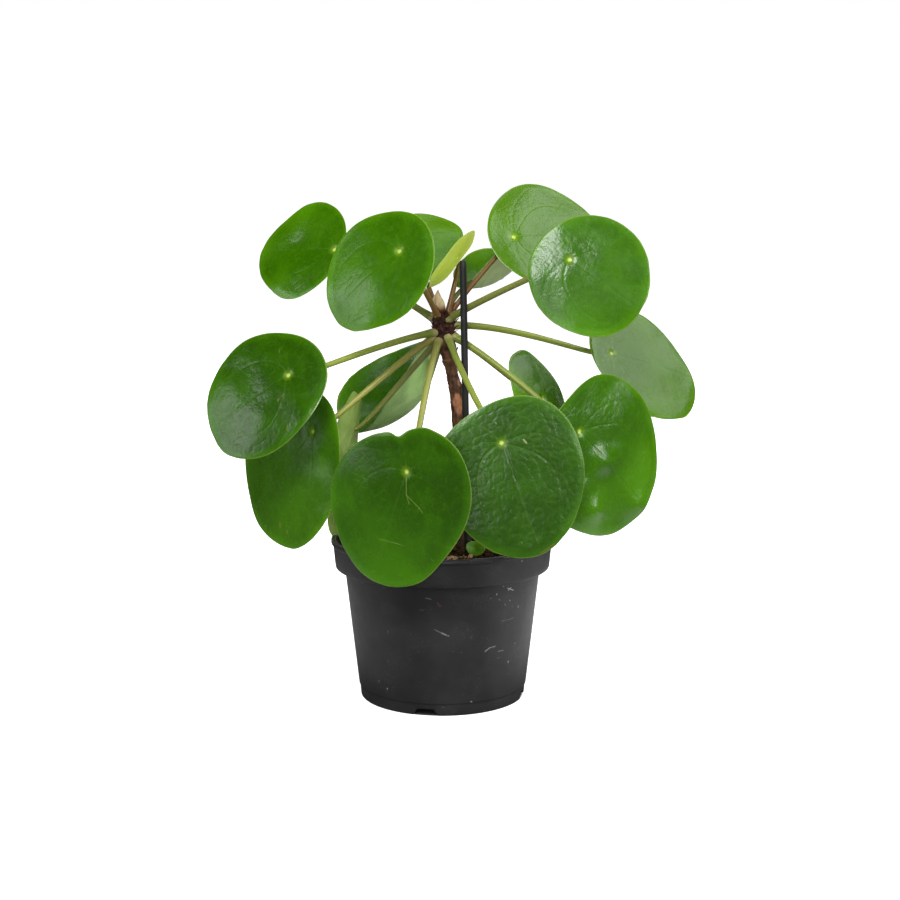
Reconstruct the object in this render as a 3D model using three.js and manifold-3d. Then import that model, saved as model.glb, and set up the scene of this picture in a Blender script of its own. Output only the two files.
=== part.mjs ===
// A pilea in its nursery pot: sixteen round peltate leaves on long stalks round a short woody
// trunk, a bud at the crown, a plant stake, moist soil with one plantlet, and a plastic pot.
// Millimetres, +Z up, front towards -Y. The origin is on the surface, under the middle of the pot.

import * as THREE from 'three';
import { mergeVertices } from 'three/addons/utils/BufferGeometryUtils.js';
import Module from 'manifold-3d';

const wasm = await Module();
wasm.setup();

// ---------------------------------------------------------------- driving dimensions

const CLEARANCE = 0.3; // between pieces that touch on the plant
const FACET_PLAY = 0.1; // more of it where a round end meets a faceted sheet

const POT = {
  height: 86.5,
  rimRadius: 60,
  lipHeight: 2.6,
  bandTopRadius: 59,
  bandBottomRadius: 57.7,
  bandHeight: 15.5,
  shoulderRadius: 52.8,
  footRadius: 44.7,
  wall: 1.4,
  creaseHeight: 6.5,
  creaseDepth: 0.5,
  creaseHalf: 0.4,
  edgeRound: 0.5,
  footRound: 1,
  footRing: 2.6,
  archHeight: 3.5,
  middleRadius: 18,
  middleFlare: 1.5,
  sides: 52,
};
// The notches through the foot ring: the width of each at the surface and at its top.
const FOOT_ARCH = { count: 4, firstAngle: -101.6, wide: 13, narrow: 9, overcut: 2 };
const DRAIN_HOLE = { count: 8, radius: 3.5, circle: 30, sides: 12 };

const SOIL = {
  edgeHeight: 77.5,
  middleRise: 2.5,
  rings: [1, 0.88, 0.74, 0.6, 0.46, 0.32, 0.18, 0],
  roughness: 0.7,
  sides: 44,
};

// The trunk's middle line, from inside the soil up to the crown, with its radius at each point.
const TRUNK_LINE = [
  { at: [10.5, 1, 52], radius: 3.6 },
  { at: [10, 1, 80], radius: 3.7 },
  { at: [9.5, 0.5, 110], radius: 3.3 },
  { at: [8.3, 0, 145], radius: 3.1 },
  { at: [6.2, 0, 165], radius: 3.0 },
  { at: [3.4, 0, 182], radius: 3.3 },
  { at: [1.4, 0, 192], radius: 4.6 },
  { at: [0.4, 0, 201], radius: 5.0 },
  { at: [-0.8, 0, 207], radius: 3.6 },
];
const TRUNK_MESH = { sides: 12, steps: 22 };
// Old leaf bases that stand off the trunk: height, compass angle round it, length and radius.
const BRACTS = [
  { height: 182, around: 175, length: 4.5, radius: 1.1 },
  { height: 198, around: -35, length: 7.5, radius: 1.5 },
  { height: 203, around: -160, length: 6.5, radius: 1.2 },
  { height: 190, around: -110, length: 6.5, radius: 1.3 },
  { height: 172, around: 20, length: 5, radius: 1.2 },
];
const BRACT = { lift: 0.35, footShare: 1.1, tipShare: 0.3, sides: 6, steps: 3 };

// The bud swells and narrows along its length by these shares of its radius.
const BUD = {
  foot: [-1.6, 0, 207.8],
  tip: [-2, 0, 219.3],
  radius: 2.7,
  swell: [0.55, 0.85, 1, 0.97, 0.8, 0.55, 0.28, 0.08],
  sides: 9,
};

const STAKE = { foot: [14.6, -14, 34], tip: [10.8, -14, 235.3], radius: 1.8, sides: 12 };

const BLADE = { thickness: 0.8, rings: [0.3, 0.6, 0.85, 1], segments: 28, waves: 5 };
const STALK = { rootRadius: 1.55, tipRadius: 1.1, rootOut: 2.4, liftShare: 0.4, neckShare: 0.14 };
const STALK_MESH = { sides: 7, steps: 9 };

// Each leaf. at: where the stalk meets the blade. turn and rise: the way its upper face looks,
// in degrees from the front and from level. hang: its tip's angle from straight down, positive
// to the viewer's right. long and wide: the blade. off: how far the stalk sits from the middle,
// as a share of half the length. egg: how much narrower the tip's end is than the other. droop:
// how far the blade falls away at its ends and its sides, negative in a cupped one. lobes:
// gentle bulges of the outline, each with its order, size and angle. wave: the height of the
// margin's ripple. root: the height and compass angle of the stalk's root on the crown. bow:
// how far the stalk arches up.
const LEAVES = {
  top_left: {
    at: [-58, 14, 241], turn: -36, rise: 30, hang: -89, long: 60, wide: 57, off: 0.78, egg: 0.01,
    droop: [2.2, 1.9], lobes: [[3, 0.034, 4], [4, 0.03, 5]], wave: 0.5, root: [204, 165], bow: -2,
  },
  upper_left: {
    at: [-21.5, -44, 241.5], turn: -31, rise: 24, hang: -48, long: 65, wide: 62, off: 0.45,
    egg: 0.02, droop: [4, 1.7], lobes: [[4, 0.02, 18]], wave: 0.5, root: [205, -115], bow: 3,
  },
  upper_back: {
    at: [-16, 40, 245.2], turn: -5, rise: 57, hang: 15, long: 62, wide: 57, off: 0.12, egg: 0,
    droop: [3, 2.5], lobes: [], wave: 0.6, root: [205, 110], bow: 0,
  },
  young: {
    at: [6.7, 5, 235.3], turn: -72, rise: 38, hang: 0, long: 38, wide: 30, off: 0.1, egg: 0,
    droop: [-1.5, -1.5], lobes: [], wave: 0.3, root: [205, -40], bow: 0,
  },
  upper_back_right: {
    at: [28.5, 60, 222.5], turn: -59, rise: 63, hang: 86, long: 51, wide: 46, off: 0.25, egg: 0,
    droop: [-18.2, -7.5], lobes: [], wave: 0.3, root: [202.5, 85], bow: 11,
  },
  top_right: {
    at: [38.5, 18, 247], turn: 21, rise: 34, hang: 94, long: 69, wide: 65, off: 0.58, egg: -0.01,
    droop: [2.5, 2.1], lobes: [[3, 0.02, -18], [4, 0.013, -6]], wave: 0.5, root: [205, 35], bow: 3,
  },
  upper_right: {
    at: [64.5, -38, 237], turn: 3, rise: 17, hang: 54, long: 64, wide: 61, off: 0.41, egg: 0.01,
    droop: [3.2, 2.6], lobes: [[3, 0.016, -29]], wave: 0.5, root: [203, -35], bow: 2,
  },
  far_right: {
    at: [91.8, 16, 184.5], turn: 44, rise: 36, hang: 71, long: 77, wide: 72, off: 0.62, egg: 0,
    droop: [2.2, 1.7], lobes: [[3, 0.018, -19]], wave: 0.5, root: [200, 5], bow: 8,
  },
  low_right: {
    at: [71, -36, 149], turn: 37, rise: -3, hang: 47, long: 88, wide: 83, off: 0.53, egg: 0.03,
    droop: [1.3, 4], lobes: [[3, 0.028, -5]], wave: 0.7, root: [195.5, -22], bow: 6,
  },
  back_right: {
    at: [57, 35, 157.4], turn: 60, rise: 25, hang: 5, long: 62, wide: 60, off: 0.05, egg: 0,
    droop: [3, 3], lobes: [], wave: 0.6, root: [196, 35], bow: 3,
  },
  front_right: {
    at: [30, -62, 147], turn: 10, rise: 3, hang: 20, long: 82, wide: 76, off: 0.46, egg: 0.05,
    droop: [2.4, 3.4], lobes: [[3, 0.037, 3], [4, 0.014, -28]], wave: 0.6, root: [196, -68],
    bow: -3,
  },
  front_left: {
    at: [-17.5, -78, 135], turn: -32, rise: 1, hang: -20, long: 84, wide: 79, off: 0.42,
    egg: -0.11, droop: [2.1, 3.9], lobes: [[2, -0.078, 45], [3, 0.064, 16]], wave: 0.5,
    root: [193.5, -114], bow: 5,
  },
  low_left: {
    at: [-68, -22, 147], turn: -48, rise: 8, hang: -41, long: 89, wide: 84, off: 0.59, egg: -0.05,
    droop: [2.7, 2.1], lobes: [[3, 0.011, -55]], wave: 0.7, root: [195.5, -165], bow: 3,
  },
  far_left: {
    at: [-79, -34, 178], turn: -28, rise: 28, hang: -52, long: 73, wide: 68, off: 0.46,
    egg: -0.03, droop: [3.5, 1.8], lobes: [[3, 0.02, 43]], wave: 0.5, root: [199.5, -158], bow: 4,
  },
  edge_left: {
    at: [-47.4, 6, 144.8], turn: -105, rise: 3, hang: 0, long: 80, wide: 43, off: 0.45, egg: 0,
    droop: [-1, -3.5], lobes: [], wave: 0.8, root: [192, 165], bow: 1,
  },
  back_left: {
    at: [-12.6, 59, 160.2], turn: -68, rise: 40, hang: 19, long: 72, wide: 67, off: 0.25, egg: 0,
    droop: [-16.2, -28.4], lobes: [], wave: 0.3, root: [196, 95], bow: 0,
  },
};

const PLANTLET = {
  at: [17.3, -20.5, 84.6], turn: 20, rise: 55, hang: 30, long: 10.5, wide: 9, off: 0.2,
  egg: 0, droop: [-0.5, 0.8], lobes: [], wave: 0.1,
};
const PLANTLET_STALK = { foot: [20.5, -14, 70], rootRadius: 0.8, tipRadius: 0.6, bow: 4 };

// ---------------------------------------------------------------- finishes

const finish = (color, roughness, metalness = 0) => ({ color, roughness, metalness });
const FINISHES = {
  pot: finish(0x37393b, 0.42),
  soil: finish(0x3c2a1e, 0.95),
  bark: finish(0x3f271b, 0.85),
  bud: finish(0xc99f78, 0.6),
  stake: finish(0x1c1d1f, 0.45),
  stalk: finish(0x98993f, 0.5),
  blade: finish(0x3b7a18, 0.38),
  youngBlade: finish(0x9dbf45, 0.42),
};

// ---------------------------------------------------------------- helpers

const vector = ([x, y, z]) => new THREE.Vector3(x, y, z);
const radians = THREE.MathUtils.degToRad;

/** A mesh of one closed body, its shared corners merged and its faces turned outwards. */
function closed(geometry) {
  geometry.deleteAttribute('normal');
  geometry.deleteAttribute('uv');
  const merged = mergeVertices(geometry);
  const index = merged.index.array;
  const corners = merged.attributes.position;
  const a = new THREE.Vector3();
  const b = new THREE.Vector3();
  const c = new THREE.Vector3();
  const kept = [];
  let volume = 0;
  for (let i = 0; i < index.length; i += 3) {
    const [p, q, r] = [index[i], index[i + 1], index[i + 2]];
    if (p === q || q === r || r === p) continue;
    a.fromBufferAttribute(corners, p);
    b.fromBufferAttribute(corners, q);
    c.fromBufferAttribute(corners, r);
    volume += a.dot(b.cross(c));
    kept.push(p, q, r);
  }
  merged.setIndex(volume < 0 ? kept.reverse() : kept);
  return merged;
}

/** The closed geometry as a solid that can be joined and cut. */
function solid(geometry) {
  const mesh = closed(geometry);
  return new wasm.Manifold(new wasm.Mesh({
    numProp: 3,
    vertProperties: Float32Array.from(mesh.attributes.position.array),
    triVerts: Uint32Array.from(mesh.index.array),
  }));
}

/** The joined or cut solid as a geometry again. */
function fromSolid(body) {
  const mesh = body.getMesh();
  const geometry = new THREE.BufferGeometry();
  geometry.setAttribute('position', new THREE.BufferAttribute(mesh.vertProperties, 3));
  geometry.setIndex(new THREE.BufferAttribute(mesh.triVerts, 1));
  return geometry;
}

/** A turned shape about Z from [radius, height] points. */
function turned(profile, sides) {
  const points = profile.map(([radius, height]) => new THREE.Vector2(radius, height));
  return new THREE.LatheGeometry(points, sides).rotateX(Math.PI / 2);
}

/** A tube with rounded-off ends along a curve: a turned shape whose length follows the curve. */
function taperedTube(curve, radiusAt, sides, steps) {
  const profile = [[0, 0]];
  for (let i = 0; i <= steps; i += 1) {
    profile.push([radiusAt(i / steps), i / steps]);
  }
  profile.push([0, 1]);
  const tube = turned(profile, sides);
  const frames = curve.computeFrenetFrames(steps, false);
  const corners = tube.attributes.position;
  for (let i = 0; i < corners.count; i += 1) {
    const along = THREE.MathUtils.clamp(corners.getZ(i), 0, 1);
    const step = Math.round(along * steps);
    const point = curve.getPointAt(along);
    point.addScaledVector(frames.normals[step], corners.getX(i));
    point.addScaledVector(frames.binormals[step], corners.getY(i));
    corners.setXYZ(i, point.x, point.y, point.z);
  }
  return tube;
}

/** A value read between the evenly numbered entries of a list, share 0 to 1. */
function between(values, share) {
  const place = THREE.MathUtils.clamp(share, 0, 1) * (values.length - 1);
  const low = Math.min(Math.floor(place), values.length - 2);
  return THREE.MathUtils.lerp(values[low], values[low + 1], place - low);
}

// ---------------------------------------------------------------- pot

/** The pot's inside from the rim down to the middle of its floor, as [radius, height] points. */
function potInside() {
  const floor = POT.archHeight + POT.wall;
  const shoulder = POT.height - POT.bandHeight;
  return [
    [POT.bandTopRadius - POT.wall, POT.height],
    [POT.bandBottomRadius - POT.wall, shoulder + POT.wall],
    [POT.shoulderRadius - POT.wall, shoulder + POT.wall],
    [POT.footRadius - POT.wall, floor],
    [POT.middleRadius + POT.middleFlare + POT.wall, floor],
    [POT.middleRadius, POT.wall],
    [0, POT.wall],
  ];
}

function potGeometry() {
  const shoulder = POT.height - POT.bandHeight;
  const slope = (POT.shoulderRadius - POT.footRadius) / shoulder;
  const crease = POT.footRadius + slope * POT.creaseHeight;
  const lip = POT.height - POT.lipHeight;
  const outside = [
    [0, 0],
    [POT.middleRadius, 0],
    [POT.middleRadius + POT.middleFlare, POT.archHeight],
    [POT.footRadius - POT.footRing, POT.archHeight],
    [POT.footRadius - POT.footRing, 0],
    [POT.footRadius - POT.footRound, 0],
    [POT.footRadius - POT.footRound / 2, POT.footRound / 2],
    [crease - POT.creaseDepth, POT.creaseHeight - POT.creaseHalf],
    [crease, POT.creaseHeight + POT.creaseHalf],
    [POT.shoulderRadius, shoulder],
    [POT.bandBottomRadius, shoulder],
    [POT.bandTopRadius, lip],
    [POT.rimRadius, lip + POT.edgeRound],
    [POT.rimRadius, POT.height - POT.edgeRound],
    [POT.rimRadius - POT.edgeRound, POT.height],
  ];
  let pot = solid(turned([...outside, ...potInside()], POT.sides));

  const arch = new THREE.Shape([
    new THREE.Vector2(-FOOT_ARCH.wide / 2, -FOOT_ARCH.overcut),
    new THREE.Vector2(FOOT_ARCH.wide / 2, -FOOT_ARCH.overcut),
    new THREE.Vector2(FOOT_ARCH.narrow / 2, POT.archHeight),
    new THREE.Vector2(-FOOT_ARCH.narrow / 2, POT.archHeight),
  ]);
  const cutDepth = POT.footRing + 2 * FOOT_ARCH.overcut;
  for (let i = 0; i < FOOT_ARCH.count; i += 1) {
    const angle = radians(FOOT_ARCH.firstAngle + (i * 360) / FOOT_ARCH.count);
    const cut = new THREE.ExtrudeGeometry(arch, { depth: cutDepth, bevelEnabled: false });
    cut.rotateX(Math.PI / 2);
    cut.translate(0, POT.footRadius + FOOT_ARCH.overcut, 0);
    cut.rotateZ(angle - Math.PI / 2);
    pot = pot.subtract(solid(cut));
  }
  for (let i = 0; i < DRAIN_HOLE.count; i += 1) {
    const angle = (i * 2 * Math.PI) / DRAIN_HOLE.count;
    const drill = new THREE.CylinderGeometry(
      DRAIN_HOLE.radius,
      DRAIN_HOLE.radius,
      POT.wall * 3,
      DRAIN_HOLE.sides,
    );
    drill.rotateX(Math.PI / 2);
    drill.translate(
      DRAIN_HOLE.circle * Math.cos(angle),
      DRAIN_HOLE.circle * Math.sin(angle),
      POT.archHeight + POT.wall / 2,
    );
    pot = pot.subtract(solid(drill));
  }
  return fromSolid(pot);
}

// ---------------------------------------------------------------- trunk and stake

const trunkCurve = new THREE.CatmullRomCurve3(TRUNK_LINE.map((entry) => vector(entry.at)));

/** The trunk, grown all round by extra: with none it is the trunk, with some it cuts its hole. */
function trunkGeometry(extra = 0) {
  const radii = TRUNK_LINE.map((entry) => entry.radius + extra);
  const lengths = trunkCurve.getLengths(TRUNK_LINE.length - 1);
  const total = lengths[lengths.length - 1];
  const radiusAt = (share) => {
    const reach = share * total;
    const next = Math.max(1, lengths.findIndex((length) => length >= reach - 1e-6));
    const span = lengths[next] - lengths[next - 1];
    return THREE.MathUtils.lerp(radii[next - 1], radii[next], (reach - lengths[next - 1]) / span);
  };
  return taperedTube(trunkCurve, radiusAt, TRUNK_MESH.sides, TRUNK_MESH.steps);
}

/** The point on the trunk's middle line at a height. */
function trunkAt(height) {
  let share = 0;
  while (share < 1 && trunkCurve.getPointAt(share).z < height) share += 0.002;
  return trunkCurve.getPointAt(Math.min(share, 1));
}

function bractGeometry({ height, around, length, radius }) {
  const foot = trunkAt(height);
  const [ahead, aside] = [Math.cos(radians(around)), Math.sin(radians(around))];
  const outwards = new THREE.Vector3(ahead, aside, BRACT.lift);
  const line = new THREE.LineCurve3(foot, foot.clone().addScaledVector(outwards, length));
  const radiusAt = (share) => (
    radius * THREE.MathUtils.lerp(BRACT.footShare, BRACT.tipShare, share)
  );
  return taperedTube(line, radiusAt, BRACT.sides, BRACT.steps);
}

function wholeTrunk(extra = 0) {
  let body = solid(trunkGeometry(extra));
  for (const bract of BRACTS) {
    const grown = { ...bract, length: bract.length + extra, radius: bract.radius + extra };
    body = body.add(solid(bractGeometry(grown)));
  }
  return body;
}

function rod({ foot, tip, radius, sides }, extra = 0) {
  const line = new THREE.LineCurve3(vector(foot), vector(tip));
  return taperedTube(line, () => radius + extra, sides, 1);
}

// ---------------------------------------------------------------- leaves

/** The directions of a leaf: towards its tip, across it, and out of its upper face. */
function leafAxes({ turn, rise, hang }) {
  const [t, r, h] = [radians(turn), radians(rise), radians(hang)];
  const face = new THREE.Vector3(
    Math.sin(t) * Math.cos(r),
    -Math.cos(t) * Math.cos(r),
    Math.sin(r),
  );
  const side = new THREE.Vector3(Math.cos(t), Math.sin(t), 0);
  const down = new THREE.Vector3().crossVectors(side, face);
  const tip = down.multiplyScalar(Math.cos(h)).addScaledVector(side, Math.sin(h));
  const across = new THREE.Vector3().crossVectors(face, tip);
  return { tip, across, face };
}

/** The margin of a blade at an angle round its stalk: an ellipse off its middle, with lobes. */
function marginAt(leaf, angle) {
  let reach = 1;
  for (const [order, size, at] of leaf.lobes) {
    reach += size * Math.cos(order * (angle - radians(at)));
  }
  return [
    (leaf.long / 2) * (leaf.off + reach * Math.cos(angle)),
    (leaf.wide / 2) * reach * Math.sin(angle) * (1 - leaf.egg * Math.cos(angle)),
  ];
}

/** The upper face: the flat outline scaled to share, drooping or cupped, with a rippled margin. */
function bladePoint(leaf, angle, share) {
  const [marginX, marginY] = marginAt(leaf, angle);
  const x = marginX * share;
  const y = marginY * share;
  const halfLong = leaf.long / 2;
  const middle = halfLong * leaf.off * 0.5;
  const [endDroop, sideDroop] = leaf.droop;
  let height = endDroop * ((middle / halfLong) ** 2 - ((x - middle) / halfLong) ** 2);
  height -= sideDroop * (y / (leaf.wide / 2)) ** 2;
  height += leaf.wave * share ** 3 * Math.sin(BLADE.waves * angle + leaf.long);
  return new THREE.Vector3(x, y, height);
}

/** One blade: its upper face, the same face again one thickness below it, and the margin. */
function bladeGeometry(leaf) {
  const { rings, segments, thickness } = BLADE;
  const top = [new THREE.Vector3()];
  for (const share of rings) {
    for (let i = 0; i < segments; i += 1) {
      top.push(bladePoint(leaf, (i / segments) * 2 * Math.PI, share));
    }
  }
  const at = (ring, i) => 1 + ring * segments + (i % segments);
  const faces = [];
  for (let i = 0; i < segments; i += 1) {
    faces.push([0, at(0, i), at(0, i + 1)]);
    for (let ring = 1; ring < rings.length; ring += 1) {
      faces.push([at(ring - 1, i), at(ring, i), at(ring, i + 1)]);
      faces.push([at(ring - 1, i), at(ring, i + 1), at(ring - 1, i + 1)]);
    }
  }
  const sheet = new THREE.BufferGeometry().setFromPoints(top);
  sheet.setIndex(faces.flat());
  sheet.computeVertexNormals();
  const normals = sheet.attributes.normal;
  const bottom = top.map((point, i) => (
    point.clone().addScaledVector(new THREE.Vector3().fromBufferAttribute(normals, i), -thickness)
  ));
  const under = top.length;
  const last = rings.length - 1;
  const index = [];
  for (const [a, b, c] of faces) {
    index.push(a, b, c, under + a, under + c, under + b);
  }
  for (let i = 0; i < segments; i += 1) {
    const [a, b] = [at(last, i), at(last, i + 1)];
    index.push(a, under + a, under + b, a, under + b, b);
  }
  const blade = new THREE.BufferGeometry().setFromPoints([...top, ...bottom]);
  blade.setIndex(index);
  return blade;
}

/** Where a stalk is rooted: inside the crown, a little out from its middle line. */
function rootPoint([height, around]) {
  const root = trunkAt(height);
  root.x += STALK.rootOut * Math.cos(radians(around));
  root.y += STALK.rootOut * Math.sin(radians(around));
  return root;
}

/** A stalk from its foot to just under the blade, square to the blade there. */
function stalkGeometry(leaf, foot, { rootRadius, tipRadius }, bow) {
  const { face } = leafAxes(leaf);
  const below = BLADE.thickness + CLEARANCE + FACET_PLAY;
  const end = vector(leaf.at).addScaledVector(face, -below);
  const first = foot.clone().lerp(end, STALK.liftShare);
  first.z += bow;
  const neck = STALK.neckShare * foot.distanceTo(end);
  const second = end.clone().addScaledVector(face, -neck);
  const curve = new THREE.CubicBezierCurve3(foot, first, second, end);
  const radiusAt = (share) => THREE.MathUtils.lerp(rootRadius, tipRadius, share);
  return taperedTube(curve, radiusAt, STALK_MESH.sides, STALK_MESH.steps);
}

// ---------------------------------------------------------------- soil

/** A gentle unevenness of the soil's top, from waves of a few sizes. */
function soilBump(x, y) {
  const coarse = Math.sin(0.13 * x + 1.3) * Math.cos(0.15 * y - 0.4);
  const fine = Math.sin(0.31 * x - 0.27 * y) * Math.cos(0.23 * x + 0.36 * y + 2);
  return SOIL.roughness * (coarse + 0.7 * fine);
}

function soilGeometry() {
  const inside = potInside().reverse();
  const below = inside.slice(0, -1).map(([radius, height]) => (
    [Math.max(0, radius - CLEARANCE), height + CLEARANCE]
  ));
  const edge = POT.bandBottomRadius - POT.wall - CLEARANCE;
  const top = [];
  for (const share of SOIL.rings) {
    top.push([edge * share, SOIL.edgeHeight + SOIL.middleRise * (1 - share ** 2)]);
  }
  const soil = turned([...below, ...top], SOIL.sides);
  const corners = soil.attributes.position;
  for (let i = 0; i < corners.count; i += 1) {
    const [x, y, z] = [corners.getX(i), corners.getY(i), corners.getZ(i)];
    if (z > SOIL.edgeHeight - CLEARANCE) corners.setZ(i, z + soilBump(x, y));
  }
  return soil;
}

// ---------------------------------------------------------------- assembly

const plant = new THREE.Group();

function add(name, geometry, look, parent = plant) {
  const material = new THREE.MeshStandardMaterial({ ...look, name });
  const mesh = new THREE.Mesh(geometry, material);
  mesh.name = name;
  parent.add(mesh);
  return mesh;
}

function addBlade(name, leaf, look) {
  const { tip, across, face } = leafAxes(leaf);
  const blade = add(name, bladeGeometry(leaf), look);
  blade.position.set(...leaf.at);
  blade.quaternion.setFromRotationMatrix(new THREE.Matrix4().makeBasis(tip, across, face));
}

add('pot', potGeometry(), FINISHES.pot);

add('trunk', fromSolid(wholeTrunk()), FINISHES.bark);
add('stake', closed(rod(STAKE)), FINISHES.stake);

const budLine = new THREE.LineCurve3(vector(BUD.foot), vector(BUD.tip));
const budRadius = (share) => BUD.radius * between(BUD.swell, share);
const budShape = taperedTube(budLine, budRadius, BUD.sides, BUD.swell.length - 1);
add('bud', closed(budShape), FINISHES.bud);

const clearOfTrunk = wholeTrunk(CLEARANCE);
for (const [place, leaf] of Object.entries(LEAVES)) {
  const isYoung = place === 'young';
  addBlade(`leaf_${place}`, leaf, isYoung ? FINISHES.youngBlade : FINISHES.blade);
  const stalk = stalkGeometry(leaf, rootPoint(leaf.root), STALK, leaf.bow);
  add(`stalk_${place}`, fromSolid(solid(stalk).subtract(clearOfTrunk)), FINISHES.stalk);
}

addBlade('plantlet_leaf', PLANTLET, FINISHES.blade);
const plantletStalk = (extra) => stalkGeometry(
  PLANTLET,
  vector(PLANTLET_STALK.foot).add(new THREE.Vector3(0, 0, -extra)),
  {
    ...PLANTLET_STALK,
    rootRadius: PLANTLET_STALK.rootRadius + extra,
    tipRadius: PLANTLET_STALK.tipRadius + extra,
  },
  PLANTLET_STALK.bow,
);
add('plantlet_stalk', closed(plantletStalk(0)), FINISHES.stalk);

const soil = solid(soilGeometry())
  .subtract(wholeTrunk(CLEARANCE))
  .subtract(solid(rod(STAKE, CLEARANCE)))
  .subtract(solid(plantletStalk(CLEARANCE)));
add('soil', fromSolid(soil), FINISHES.soil);

export default plant;
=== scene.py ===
"""A potted pilea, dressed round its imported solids: round peltate leaves on long stalks, a short
woody trunk with a bud, a plant stake, moist soil with one plantlet, and a plastic nursery pot.

Sizes are in millimetres and angles in degrees, as named on each class; meshes are in metres.
+Z is up, -Y points at the viewer, and the origin is on the surface under the middle of the pot.
"""

import logging
import math
from dataclasses import dataclass, field
from enum import Enum

import bpy
import numpy as np
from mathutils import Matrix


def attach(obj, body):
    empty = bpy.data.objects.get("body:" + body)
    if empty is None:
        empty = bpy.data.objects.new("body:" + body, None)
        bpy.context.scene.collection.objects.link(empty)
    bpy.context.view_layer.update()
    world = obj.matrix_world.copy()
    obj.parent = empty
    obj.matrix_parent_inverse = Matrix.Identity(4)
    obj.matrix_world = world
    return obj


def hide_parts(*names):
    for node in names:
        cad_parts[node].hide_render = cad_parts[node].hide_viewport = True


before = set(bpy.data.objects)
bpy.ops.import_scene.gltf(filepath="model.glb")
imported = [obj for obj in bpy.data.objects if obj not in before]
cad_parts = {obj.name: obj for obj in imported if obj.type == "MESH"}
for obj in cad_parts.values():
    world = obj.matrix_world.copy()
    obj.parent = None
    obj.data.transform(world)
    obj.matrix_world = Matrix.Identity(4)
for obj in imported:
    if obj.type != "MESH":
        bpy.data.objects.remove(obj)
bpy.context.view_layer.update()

LOG = logging.getLogger("pilea")
MM = 0.001
BODY = "root"

Pair = tuple[float, float]
Point = tuple[float, float, float]
Four = tuple[float, float, float, float]
Colour = tuple[float, float, float]
Socket = bpy.types.NodeSocket
Value = Socket | float | Colour


# ---------------------------------------------------------------- numbers and noise


def linear(code: str) -> Colour:
    """The linear colour of a hex code such as 2f6a00.

    Args:
        code: Six hex digits, as a paint chart gives them.

    Returns:
        Red, green and blue from 0 to 1, linear.
    """
    shares = [int(code[i : i + 2], 16) / 255 for i in (0, 2, 4)]
    return tuple(c / 12.92 if c <= 0.04045 else ((c + 0.055) / 1.055) ** 2.4 for c in shares)


def smoothstep(low: float, high: float, value: np.ndarray) -> np.ndarray:
    """A soft step from 0 at low to 1 at high: 3t^2 - 2t^3 of the clipped share t."""
    t = np.clip((value - low) / (high - low), 0, 1)
    return t * t * (3 - 2 * t)


def hump(offset: np.ndarray, width: float) -> np.ndarray:
    """A smooth hump of height 1 round offset 0: exp(-(offset / width)^2)."""
    return np.exp(-((offset / width) ** 2))


def ring_angles(columns: int, more: int = 0) -> np.ndarray:
    """The angles of a ring's columns: even steps of a full turn, and some steps more."""
    return np.arange(columns + more) * 2 * np.pi / columns


def around(angle: np.ndarray, centre: float) -> np.ndarray:
    """How far angles are turned from a centre, from minus to plus half a turn, in radians."""
    return (angle - centre + np.pi) % (2 * np.pi) - np.pi


def through(places: np.ndarray, knots: np.ndarray, values: np.ndarray) -> np.ndarray:
    """A smooth curve through values at knots: cubic pieces that share their slopes at the knots.

    Args:
        places: Where the curve is read.
        knots: Rising places of the given values.
        values: One row of numbers for each knot.

    Returns:
        One row for each place.
    """
    knots = np.asarray(knots, float)
    values = np.asarray(values, float).reshape(len(knots), -1)
    slopes = np.gradient(values, knots, axis=0)
    places = np.clip(np.asarray(places, float), knots[0], knots[-1])
    low = np.clip(np.searchsorted(knots, places, side="right") - 1, 0, len(knots) - 2)
    span = (knots[low + 1] - knots[low])[:, None]
    t = (places - knots[low])[:, None] / span
    return (
        values[low] * (2 * t**3 - 3 * t**2 + 1)
        + slopes[low] * span * (t**3 - 2 * t**2 + t)
        + values[low + 1] * (3 * t**2 - 2 * t**3)
        + slopes[low + 1] * span * (t**3 - t**2)
    )


class Noise:
    """Smooth noise in space: random values on a cubic lattice, blended by soft steps."""

    SIZE = 32
    OCTAVE_SHIFT = 7.3

    def __init__(self, seed: int) -> None:
        """Draws the lattice from a seed."""
        self.lattice = np.random.default_rng(seed).uniform(-1, 1, (self.SIZE,) * 3)

    def at(self, points: np.ndarray, cell: float) -> np.ndarray:
        """One octave of noise, about -1 to 1.

        Args:
            points: Rows of x, y, z in millimetres.
            cell: The lattice's spacing in millimetres.

        Returns:
            One value for each point.
        """
        scaled = points / cell
        base = np.floor(scaled).astype(int)
        t = scaled - base
        t = t * t * (3 - 2 * t)
        total = np.zeros(points.shape[:-1])
        for corner in np.ndindex(2, 2, 2):
            x, y, z = np.moveaxis((base + corner) % self.SIZE, -1, 0)
            across, back, up = np.moveaxis(np.abs(1 - np.array(corner) - t), -1, 0)
            total += across * back * up * self.lattice[x, y, z]
        return total

    def layered(self, points: np.ndarray, cell: float, octaves: int = 3) -> np.ndarray:
        """Octaves of noise, each half the size and half the height of the one before."""
        shifts = [self.OCTAVE_SHIFT * k for k in range(octaves)]
        return sum(self.at(points + d, cell / 2**k) / 2**k for k, d in enumerate(shifts))


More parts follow.
